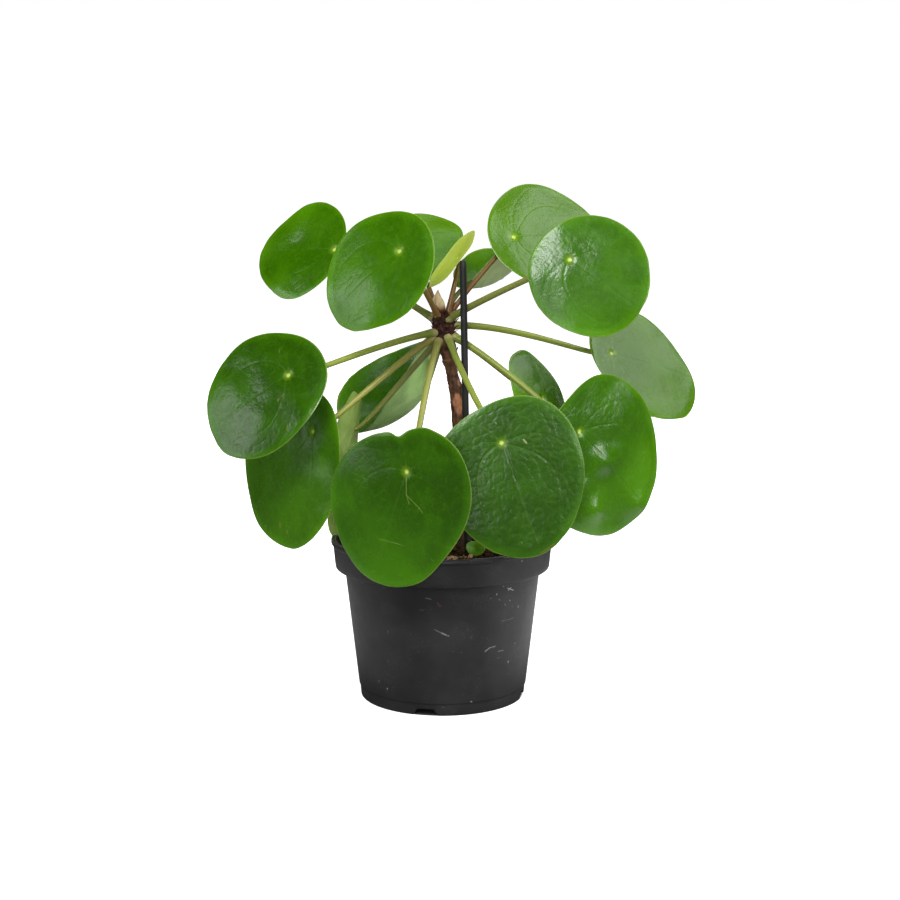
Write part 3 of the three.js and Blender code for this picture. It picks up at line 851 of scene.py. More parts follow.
@dataclass
class Trunk:
    """The woody trunk, which thickens to a scarred crown where the stalks are rooted.

    Attributes:
        heights: Heights of the middle line's points.
        line: The middle line's x and y, and the radius, at those heights.
        scars: Leaf scars as height, compass angle and size.
        bare: Patches of peeled bark as height, compass angle, half width and half height.
        scales: How many dry leaf bases stand round the crown.
        bracts: Larger twisted bracts as height, compass angle, length, half width and curl.
        node: Height of the raised ring where the crown begins.

    CAP is how far the tube rounds over above the last height. SWOLLEN and MAROON are the heights
    between which the crown's lumps and its colour set in, and SCALE_FEET those of the leaf bases.
    """

    heights: tuple[float, ...] = (52, 80, 110, 145, 165, 182, 192, 201, 207)
    line: tuple[Point, ...] = (
        (10.5, 1, 3.6), (10, 1, 3.7), (9.8, 0.5, 3.4), (9.0, 0, 3.4), (7.1, 0, 3.3),
        (3.9, 0, 3.4), (1.5, 0, 4.4), (0.4, 0, 5.0), (-0.8, 0, 3.6),
    )
    scars: tuple[Point, ...] = (
        (160, -100, 2.0), (168, 20, 1.8), (150, -60, 2.2), (139, 150, 1.9), (128, -120, 2.0),
        (118, 40, 1.9), (106, -80, 2.2), (95, 170, 2.0), (176, -70, 1.7), (172, 170, 1.8),
        (181, -140, 1.7), (184, -20, 1.7), (187, 100, 1.8),
    )
    bare: tuple[Four, ...] = ((159, -78, 2.5, 6.0), (170, -40, 1.0, 2.0))
    scales: int = 34
    bracts: tuple[tuple[float, ...], ...] = (
        (202, -96, 6.5, 2.2, 3.4), (203.5, -70, 5.2, 2.0, 2.6), (197, -45, 5.0, 1.8, 3.0),
        (195, -60, 4.6, 1.6, 3.2), (201, -135, 5.6, 2.0, 2.2), (200, -15, 5.4, 1.9, 3.0),
    )
    node: float = 182.4

    CAP = 1.2
    SWOLLEN = (178, 194)
    MAROON = (190, 196)
    SCALE_FEET = (186, 206)
    SCALE_THICKNESS = 0.32

    def at(self, height: float) -> tuple[np.ndarray, float]:
        """The middle line's point and the trunk's radius at a height."""
        x, y, radius = through(np.array([height]), self.heights, self.line)[0]
        return np.array([x, y, height]), radius

    def build(self) -> None:
        """Makes the bark's tube and the dry leaf bases on the crown.

        The tube carries a ring up the middle line. Its radius is the given one, plus noise that
        is drawn out along the stem, plus a low ring at each old node and a rimmed hollow at
        each leaf scar.
        """
        rows, columns = 420, 96
        top = self.heights[-1]
        height = np.linspace(self.heights[0], top + self.CAP, rows)
        middle = through(height, self.heights, self.line)
        radius = middle[:, 2:]
        angle = ring_angles(columns)[None]
        high = np.repeat(height[:, None], columns, 1)
        spots = np.stack([np.cos(angle) * radius, np.sin(angle) * radius, high * 0.4], -1)
        noise = Noise(4)
        bark = noise.layered(spots + 40, 2.4, 4)
        lumps = noise.layered(spots + 90, 5, 2)
        crown = smoothstep(*self.SWOLLEN, high)
        relief = bark * (0.28 + 0.7 * crown) + (0.5 + lumps) * crown
        rings = sum(hump(high - z, 0.7) for z, _, _ in self.scars)
        ring = hump(high - self.node, 0.8)
        relief += 0.22 * np.minimum(rings, 1) + 0.6 * ring
        marked, peeled = np.zeros_like(high), np.zeros_like(high)
        # The tube's columns start opposite to compass angle 0, hence the half turn.
        for z, compass, size in self.scars:
            turn = around(angle, math.radians(compass) + np.pi)
            reach = np.hypot((high - z) / size, turn * radius / size)
            marked = np.maximum(marked, np.exp(-(reach**2) * 1.5))
            relief += 0.35 * hump(reach - 1, 0.3) - 0.3 * np.exp(-(reach**2) * 3)
        for z, compass, wide, tall in self.bare:
            turn = around(angle, math.radians(compass) + np.pi)
            reach = np.hypot((high - z) / tall, turn * radius / wide) + 0.25 * bark
            peeled = np.maximum(peeled, smoothstep(1.15, 0.85, reach))
        relief -= 0.25 * peeled
        rounding = smoothstep(top - 3, top + self.CAP, height)[:, None]
        radii = (radius + relief) * (1 - 0.75 * rounding**2)
        line = np.column_stack([middle[:, :2], height])
        tube = carried(line, radii, columns, upright=(0, 1, 0))
        tube.fields = {
            "relief": relief, "scar": np.maximum(marked, ring), "peeled": peeled,
            "crown": smoothstep(*self.MAROON, high),
        }
        trunk = mesh_object("trunk_bark", [tube])
        settle(trunk, BarkFinish().material("bark"), "bark", "trunk")
        self.build_scales()

    def build_scales(self) -> None:
        """Makes the dry leaf bases: pointed shells that hug the crown and curl away at the tip.

        Each shell is a grid of a length parameter u and a width parameter v: its half width is
        w (1 - u)^0.7, its distance from the trunk grows as u^2, and its underside lies a
        constant thickness inside.
        """
        rng = np.random.default_rng(11)
        u = np.linspace(0, 0.97, 9)[:, None]
        v = np.linspace(-1, 1, 7)[None]
        low, high = self.SCALE_FEET
        forms = []
        for k in range(self.scales):
            height = low + (high - low) * k / self.scales + rng.uniform(-1, 1)
            compass = k * 2.4 + rng.uniform(-0.3, 0.3)
            length, width = rng.uniform(3.0, 5.4), rng.uniform(1.3, 2.3)
            curl, lean = rng.uniform(0.8, 2.8), rng.uniform(-0.3, 0.3)
            forms.append((height, compass, length, width, curl, lean))
        for height, compass, length, width, curl in self.bracts:
            forms.append((height, math.radians(compass), length, width, curl, 0.5))
        patches = []
        for height, compass, length, width, curl, lean in forms:
            foot, radius = self.at(height)
            radius += 0.7
            half = width * (1 - u) ** 0.7 * (0.75 + u)
            turn = compass + half * v / radius + lean * u
            out = radius + 0.25 + curl * u**2 - 0.35 * v**2 * (1 - u)
            up = length * u - 0.3 * curl * u**2 + 0 * v
            outer, inner = (
                np.stack([reach * np.cos(turn), reach * np.sin(turn), up], -1)
                for reach in (out, out - self.SCALE_THICKNESS)
            )
            ring = foot + np.concatenate([outer, inner[:, ::-1]], axis=1)
            rows = np.repeat(u, ring.shape[1], 1)
            numbers = {"relief": 0.2 + 0.5 * rows, "scar": 0.4 * rows**3, "peeled": 0 * rows}
            numbers["crown"] = 0.75 + 0 * rows
            patches.append(Patch(ring, ring[0].mean(0), ring[-1].mean(0), numbers))
        scales = mesh_object("crown_scales", patches)
        settle(scales, BarkFinish("2a1810", "5d3c29", "8d6a48").material("dry_scales"), "bark")


@dataclass
class Bud:
    """The pointed bud at the crown: a broad cone of three clasping scales, still closed."""

    foot: Point = (-1.6, 0, 207.0)
    tip: Point = (-2.2, 0, 219.6)
    radius: float = 3.9

    SWELL = (0.6, 0.9, 1, 0.92, 0.74, 0.5, 0.26, 0.03)

    def build(self) -> None:
        """Makes the bud: a ring carried up its axis, stepped where one scale laps the next.

        The radius along share t is a smooth curve through SWELL. Round angle a it steps up at
        the edge of each of three scales and falls evenly to the next; the edges wind as t grows.
        """
        rows, columns = 70, 96
        t = np.linspace(0, 1, rows)
        swell = through(t, np.linspace(0, 1, len(self.SWELL)), self.SWELL)
        angle = ring_angles(columns)[None]
        fold = ((angle + 0.4 + 1.3 * t[:, None]) * 3 / (2 * np.pi)) % 1
        edge = smoothstep(0, 0.1, fold) * (1 - 0.25 * fold)
        radii = self.radius * swell * (0.86 + 0.17 * edge + 0.015 * np.cos(9 * angle))
        line = np.linspace(self.foot, self.tip, rows)
        line[:, 0] -= 0.5 * np.sin(np.pi * t)
        patch = carried(line, radii, columns, upright=(0, 1, 0))
        patch.fields = {"along": np.repeat(t[:, None], columns, 1), "fold": fold}
        patch.end_fields = {"along": (0, 1), "fold": (0.5, 0.5)}
        settle(mesh_object("bud_scales", [patch]), BudFinish().material("bud"), "bud", "bud")


@dataclass
class Stake:
    """The slim plastic plant stake, with flutes along it and a bevelled top."""

    foot: Point = (14.6, -14, 34)
    tip: Point = (10.8, -14, 235.3)
    radius: float = 1.8
    flutes: int = 10

    def build(self) -> None:
        """Makes the rod: a shallowly fluted ring carried up a line, narrowed at both ends."""
        rows, columns = 60, 60
        length = math.dist(self.foot, self.tip)
        reach = np.concatenate([[0, 0.25], np.linspace(0.6, length - 0.6, rows), [length - 0.2, length]])
        line = np.array(self.foot) + np.outer(reach / length, np.subtract(self.tip, self.foot))
        end = np.minimum(reach, length - reach)
        bevel = 1 - 0.3 * hump(end, 0.35)
        angle = ring_angles(columns)[None]
        radii = self.radius * bevel[:, None] * (0.975 + 0.025 * np.cos(self.flutes * angle))
        patch = carried(line, radii, columns, upright=(0, 1, 0))
        material = PlasticFinish("141315", "1e1f20", "5e5e58", 0.6, 0.3).material("stake_plastic")
        settle(mesh_object("stake_rod", [patch]), material, "stake_plastic", "stake")


# ---------------------------------------------------------------- leaves


@dataclass(frozen=True)
class Vein:
    """A main vein, by its angle from the tip at the shares 0, 0.3, 0.6, 0.85 and 1 of the reach."""

    angles: tuple[float, ...]
    strength: float


VEIN_SHARES = (0, 0.3, 0.6, 0.85, 1)
VEINS = (
    Vein((0, 0, 0, 0, 0), 1.0),
    Vein((80, 78, 66, 34, 8), 0.85),
    Vein((118, 116, 106, 92, 82), 0.5),
    Vein((150, 152, 148, 142, 138), 0.4),
    Vein((198, 194, 197, 202, 206), 0.5),
    Vein((222, 224, 234, 246, 256), 0.5),
    Vein((246, 262, 292, 324, 352), 0.95),
)


@dataclass(frozen=True)
class Leaf:
    """One leaf: a round blade on its stalk. The numbers mean what they do in the solids' source.

    Attributes:
        place: Where it is on the plant, as in its node's name.
        at: Where the stalk meets the blade.
        turn: Which way the upper face looks round the compass, 0 to the viewer.
        rise: How far above level it looks.
        hang: The tip's angle from straight down, positive to the viewer's right.
        long: The blade's length.
        wide: The blade's width.
        off: The stalk's distance from the middle, as a share of half the length.
        egg: How much narrower the tip's end is.
        droop: How far the blade falls away at its ends and at its sides.
        lobes: Bulges of the outline, as order, size and angle.
        wave: The height of the margin's ripple.
        root: The stalk's root on the crown, as height and compass angle.
        bow: How far the stalk arches up.
        sway: How far the stalk's arch leans to the viewer's right.
        neck: How much of the stalk's length turns square to the blade.
        girth: The stalk's thickness as a share of the usual one.
        quilt: The height in millimetres of the pillows between the fine veins.
        crinkle: The height in millimetres of the blade's larger unevenness.
        glow: Lighter patches, partly the blade's own tone and partly painted glow of light shining
            through it and painted sheen, as angle, share of the reach, size in millimetres and strength.
        nick: How far the margin strays from its smooth outline, in millimetres.
        marks: Flecks and scratches.
        bulges: Swellings of the blade, as angle, share, size and height in millimetres.
        dents: Dents of the outline, as angle, half width in degrees and depth as a share.
        finish: The blade's finish.
        stalk: The stalk's finish.
        upright: The fixed direction of the stalk's rings, which the stalk never follows.

    THICKNESS is the blade's in its middle and MARGIN at its edge, LIP how far the rounded edge
    stands out, WAVES the ripples round it, CELL the size of the pillows, GROOVE half the width
    of a vein's groove, DIMPLE and DIMPLE_SIZE the depth and half width of the hollow over the
    stalk, ROOT_OUT the distance of the stalk's root from the trunk's middle, and MAP_WIDTH the
    stalk's girth in metres on its map.
    """

    place: str
    at: Point
    turn: float
    rise: float
    hang: float
    long: float
    wide: float
    off: float
    egg: float = 0
    droop: Pair = (3, 3)
    lobes: tuple[tuple[int, float, float], ...] = ()
    wave: float = 0.5
    root: Pair = (200, 0)
    bow: float = 0
    sway: float = 0
    neck: float = 0.08
    girth: float = 1.0
    quilt: float = 0.05
    crinkle: float = 0.5
    glow: tuple[Four, ...] = ()
    nick: float = 0.3
    marks: tuple[Mark, ...] = ()
    bulges: tuple[Four, ...] = ()
    dents: tuple[Point, ...] = ()
    finish: BladeFinish = BladeFinish()
    stalk: StalkFinish = StalkFinish()
    upright: Point = (0.13, 0.2, 1)

    THICKNESS = 0.8
    MARGIN = 0.34
    LIP = 0.12
    WAVES = 5
    CELL = 4.2
    GROOVE = 0.9
    DIMPLE = 0.9
    DIMPLE_SIZE = 2.2
    ROOT_OUT = 4.0
    MAP_WIDTH = 0.009

    def axes(self) -> np.ndarray:
        """The directions of the leaf.

        Returns:
            Rows for the direction to its tip, the one across it, and the one out of its face.
        """
        t, r, h = np.radians([self.turn, self.rise, self.hang])
        face = np.array([np.sin(t) * np.cos(r), -np.cos(t) * np.cos(r), np.sin(r)])
        side = np.array([np.cos(t), np.sin(t), 0])
        tip = np.cross(side, face) * np.cos(h) + side * np.sin(h)
        return np.array([tip, np.cross(face, tip), face])

    def flat(self, angle: np.ndarray, share: np.ndarray) -> tuple[np.ndarray, np.ndarray]:
        """The flat outline scaled to share: an ellipse off its middle, with lobes and dents.

        Args:
            angle: Angles round the stalk in radians, from the tip.
            share: Shares of the reach from stalk to margin.

        Returns:
            The distances from the stalk towards the tip and across.
        """
        reach = 1 + sum(
            size * np.cos(order * (angle - math.radians(turn))) for order, size, turn in self.lobes
        )
        for bearing, half, depth in self.dents:
            off = around(angle, math.radians(bearing))
            reach = reach - depth * hump(off, math.radians(half)) * share**4
        x = self.long / 2 * (self.off + reach * np.cos(angle)) * share
        y = self.wide / 2 * reach * np.sin(angle) * (1 - self.egg * np.cos(angle)) * share
        return x, y

    def bend(self, x: np.ndarray, y: np.ndarray, angle: np.ndarray, share: np.ndarray) -> np.ndarray:
        """The blade's height: it falls away as the square of x and of y, and its margin ripples.

        Args:
            x: Distances from the stalk towards the tip.
            y: Distances across.
            angle: The same points' angles round the stalk in radians.
            share: Their shares of the reach.

        Returns:
            The height of each point over the stalk's end.
        """
        half = self.long / 2
        middle = half * self.off * 0.5
        ends, sides = self.droop
        height = ends * ((middle / half) ** 2 - ((x - middle) / half) ** 2)
        height -= sides * (y / (self.wide / 2)) ** 2
        return height + self.wave * share**3 * np.sin(self.WAVES * angle + self.long)

    def lanes(self, angle: np.ndarray, share: np.ndarray) -> tuple[np.ndarray, ...]:
        """Where a point lies among the main veins.

        Between two neighbouring veins the lane number rises evenly from one whole number to
        the next.

        Args:
            angle: Angles round the stalk, 0 to a full turn.
            share: Shares of the reach from stalk to margin.

        Returns:
            The lane numbers, the angle between the two veins there, and the veins' strength.
        """
        lane = np.zeros(np.broadcast(angle, share).shape)
        gap, strength = np.ones_like(lane), np.zeros_like(lane)
        lines = [np.radians(through(share.ravel(), VEIN_SHARES, vein.angles)) for vein in VEINS]
        lines.append(lines[0] + 2 * np.pi)
        strengths = [vein.strength for vein in VEINS]
        strengths.append(strengths[0])
        for low, high, a, b in zip(lines, lines[1:], strengths, strengths[1:]):
            part = (angle - low) / (high - low)
            inside = (part >= 0) & (part <= 1)
            lane += np.clip(part, 0, 1)
            gap = np.where(inside, high - low, gap)
            strength = np.where(inside, a + (b - a) * part, strength)
        return lane, gap, strength

    def patches(self, spots: tuple[Four, ...], x: np.ndarray, y: np.ndarray) -> np.ndarray:
        """Round patches on the blade: each is its strength times exp(-(distance / size)^2).

        Args:
            spots: Each patch as angle, share of the reach, size in millimetres and strength.
            x: Distances from the stalk towards the tip.
            y: Distances across.

        Returns:
            The patches' sum at each point.
        """
        total = np.zeros_like(x)
        for bearing, far, size, strength in spots:
            at_x, at_y = self.flat(np.radians(bearing), far)
            total += strength * hump(np.hypot(x - at_x, y - at_y), size)
        return total

    def surface(self, angle: float, share: float) -> Point:
        """A point of the bent blade.

        Args:
            angle: Its angle round the stalk in degrees, from the tip.
            share: Its share of the reach.

        Returns:
            Its place in millimetres.
        """
        turn = np.array(math.radians(angle))
        x, y = self.flat(turn, share)
        local = np.array([x, y, self.bend(x, y, turn, share)])
        return tuple(float(c) for c in local @ self.axes() + np.array(self.at))

    def build(self, trunk: Trunk) -> None:
        """Makes the blade, and the stalk from the trunk's crown.

        Args:
            trunk: The trunk that the stalk grows from.
        """
        slot = "young_blade" if self.finish.tone is Tone.YOUNG else "blade"
        self.build_blade(f"leaf_{self.place}", slot)
        height, bearing = self.root
        compass = math.radians(bearing)
        foot, _ = trunk.at(height)
        foot[:2] += self.ROOT_OUT * math.cos(compass), self.ROOT_OUT * math.sin(compass)
        self.build_stalk(foot, f"stalk_{self.place}")

    def build_blade(
        self, node: str, slot: str = "blade", rows: int = 64, columns: int = 256
    ) -> None:
        """Makes the blade as one closed surface of angle and share of the reach.

        The upper face is the bent outline, less a groove along each main vein, plus a pillow
        in each cell of the fine veins, plus smooth noise, less a dimple over the stalk. The
        margin is rounded and strays a little from its outline. The underside lies one
        thickness below the upper face, with ribs under the veins.

        Args:
            node: The solid's node that it replaces.
            slot: The slot that its material fills.
            rows: Steps from the stalk to the margin.
            columns: Steps round the stalk.
        """
        seed = sum(map(ord, self.place))
        noise = Noise(seed)
        share = np.linspace(0, 1, rows + 1)[1:, None] ** 0.92
        angle = ring_angles(columns, 1)[None]
        x, y = self.flat(angle, share)
        turning = np.stack([9 * np.cos(angle), 9 * np.sin(angle), np.full_like(angle, seed % 13)], -1)
        ragged = 1 + self.nick / self.long * 2 * noise.layered(turning, 3.2, 3) * share**3
        x, y = x * ragged, y * ragged
        reach = np.hypot(x, y)
        base = np.stack([x, y, self.bend(x, y, angle, share)], -1)
        spots = np.stack([x, y, np.full_like(x, seed % 17)], -1)

        lane, gap, strength = self.lanes(angle, share)
        lane_width = reach * gap
        off_vein = np.abs((lane + 0.5) % 1 - 0.5) * lane_width
        fade = strength * smoothstep(1.0, 0.85, share) * smoothstep(1.0, 5.0, reach)
        groove = fade * hump(off_vein, self.GROOVE)
        warp_x = x + 1.6 * noise.at(spots + 31, 6)
        warp_y = y + 1.6 * noise.at(spots + 77, 6)
        pillow = np.minimum(cells(warp_x, warp_y, self.CELL, seed) * 1.6, 1)
        pillow = pillow * (2 - pillow)
        inner = smoothstep(1.0, 0.9, share) * smoothstep(2.0, 9.0, reach)
        relief = self.quilt * (inner * pillow - groove) - 0.05 * groove
        relief += self.crinkle * inner * noise.layered(spots, 19, 2)
        relief += 0.05 * inner * noise.layered(spots + 9, 5, 2)
        relief -= self.DIMPLE * hump(reach, self.DIMPLE_SIZE)
        relief += self.patches(self.bulges, x, y)
        thick = self.THICKNESS - (self.THICKNESS - self.MARGIN) * smoothstep(0.55, 1.0, share)
        drop = 0.35 * self.MARGIN * smoothstep(0.975, 1.0, share)

        ring = np.concatenate([base[:, -2:-1], base[:, :-1], base[:, :1]], 1)
        normal = np.cross(np.gradient(base, axis=0)[:, :-1], (ring[:, 2:] - ring[:, :-2]) / 2)
        normal /= np.linalg.norm(normal, axis=-1, keepdims=True)
        top = base[:, :-1] + normal * (relief - drop)[:, :-1, None]
        ribs = 0.35 * groove * (0.4 + self.quilt)
        bottom = base[:, :-1] + normal * (relief - thick - ribs + drop)[:, :-1, None]
        outward = base[-1:, :-1] - base[-2:-1, :-1]
        outward /= np.linalg.norm(outward, axis=-1, keepdims=True)
        lip = (top[-1:] + bottom[-1:]) / 2 + outward * self.LIP
        grid = np.concatenate([top, lip, bottom[::-1]])
        start = np.array([0, 0, self.bend(0.0, 0.0, 0.0, 0.0) - self.DIMPLE])
        grid, start, end = (
            place @ self.axes() + np.array(self.at)
            for place in (grid, start, start - (0, 0, self.THICKNESS))
        )

        def both(values: np.ndarray) -> np.ndarray:
            """A number of the upper face, repeated for the lip and the underside."""
            values = np.broadcast_to(values, x.shape)
            return np.concatenate([values, values[-1:], values[::-1]])

        rim_x, rim_y = self.flat(angle, np.ones_like(share))
        numbers = {
            "upper": np.concatenate([np.ones_like(x), np.full_like(x[:1], 0.5), np.zeros_like(x)]),
            "dot": both(reach), "rim": both(np.hypot(rim_x - x, rim_y - y)),
            "glow": both(self.patches(self.glow, x, y)), "lane_width": both(lane_width),
            "vein_fade": both(fade),
        }
        patch = Patch(grid, start, end, {key: part[:, :-1] for key, part in numbers.items()})
        patch.end_fields = {"upper": (1, 0), "rim": (20, 20)}
        patch.coordinates = np.stack([both(lane), both(share)], -1)
        name = f"blade_{self.place}"
        marks = [(self.surface(*mark.start), self.surface(*mark.end), mark) for mark in self.marks]
        blade = mesh_object(name, [patch], flip=True)
        settle(blade, self.finish.material(name, marks), slot, node)

    def build_stalk(self, foot: np.ndarray, node: str, radius: Pair = (1.9, 1.22)) -> None:
        """Makes the stalk: a ring carried along one cubic curve from its root to the blade.

        The curve ends square to the blade. The radius narrows evenly from root to tip, swells
        at the root, where its end is rounded, and flares where it meets the blade's underside.

        Args:
            foot: The place of its root.
            node: The solid's node that it replaces.
            radius: Its radius at the root and at the tip.
        """
        face = self.axes()[2]
        end = np.array(self.at) - face * (self.THICKNESS + 0.4)
        length = np.linalg.norm(end - foot)
        first = foot + 0.4 * (end - foot) + (self.sway, 0, self.bow)
        second = end - self.neck * length * face
        rows, columns = 72, 28
        t = np.linspace(0, 1, rows)[:, None] ** 1.4
        line = (
            (1 - t) ** 3 * foot + 3 * (1 - t) ** 2 * t * first
            + 3 * (1 - t) * t**2 * second + t**3 * end
        )
        root, tip = radius
        radii = (root + (tip - root) * t) * self.girth * (1 + 0.3 * hump(t * length, 5))
        radii = radii * np.sqrt(1 - 0.8 * np.clip(1 - t * length / 1.6, 0, 1) ** 2)
        radii = radii * (1 + 0.5 * hump((1 - t) * length, 1.6))
        angle = ring_angles(columns)[None]
        lumps = Noise(sum(map(ord, self.place)) + 5).at(line, 5)[:, None]
        radii = radii * (1 + 0.03 * np.cos(2 * angle + 1) + 0.02 * np.cos(5 * angle) + 0.02 * lumps)
        patch = carried(line, radii, columns, self.upright)
        patch.end = line[-1] + face * 0.3
        patch.fields = {"along": np.repeat(t, columns, 1)}
        patch.end_fields = {"along": (0, 1)}
        across = np.linspace(0, self.MAP_WIDTH, columns + 1)[None] + 0 * t
        patch.coordinates = np.stack([across, t * length * MM + 0 * across], -1)
        name = f"petiole_{self.place}"
        settle(mesh_object(name, [patch]), self.stalk.material(name), "stalk", node)


DEEP = BladeFinish(Tone.DEEP)
OLIVE = StalkFinish("6f7434", "7e8440", "808a40")
GREEN = StalkFinish("788432", "86943a", "8a9c44")
YELLOW = StalkFinish("938c42", "9a9a44", "969c46")
TAN = StalkFinish("848440", "909446", "8e9a46")
RUSSET = StalkFinish("683e20", "755626", "7a7038")
PINK = StalkFinish("8a623c", "8e7a42", "868848")

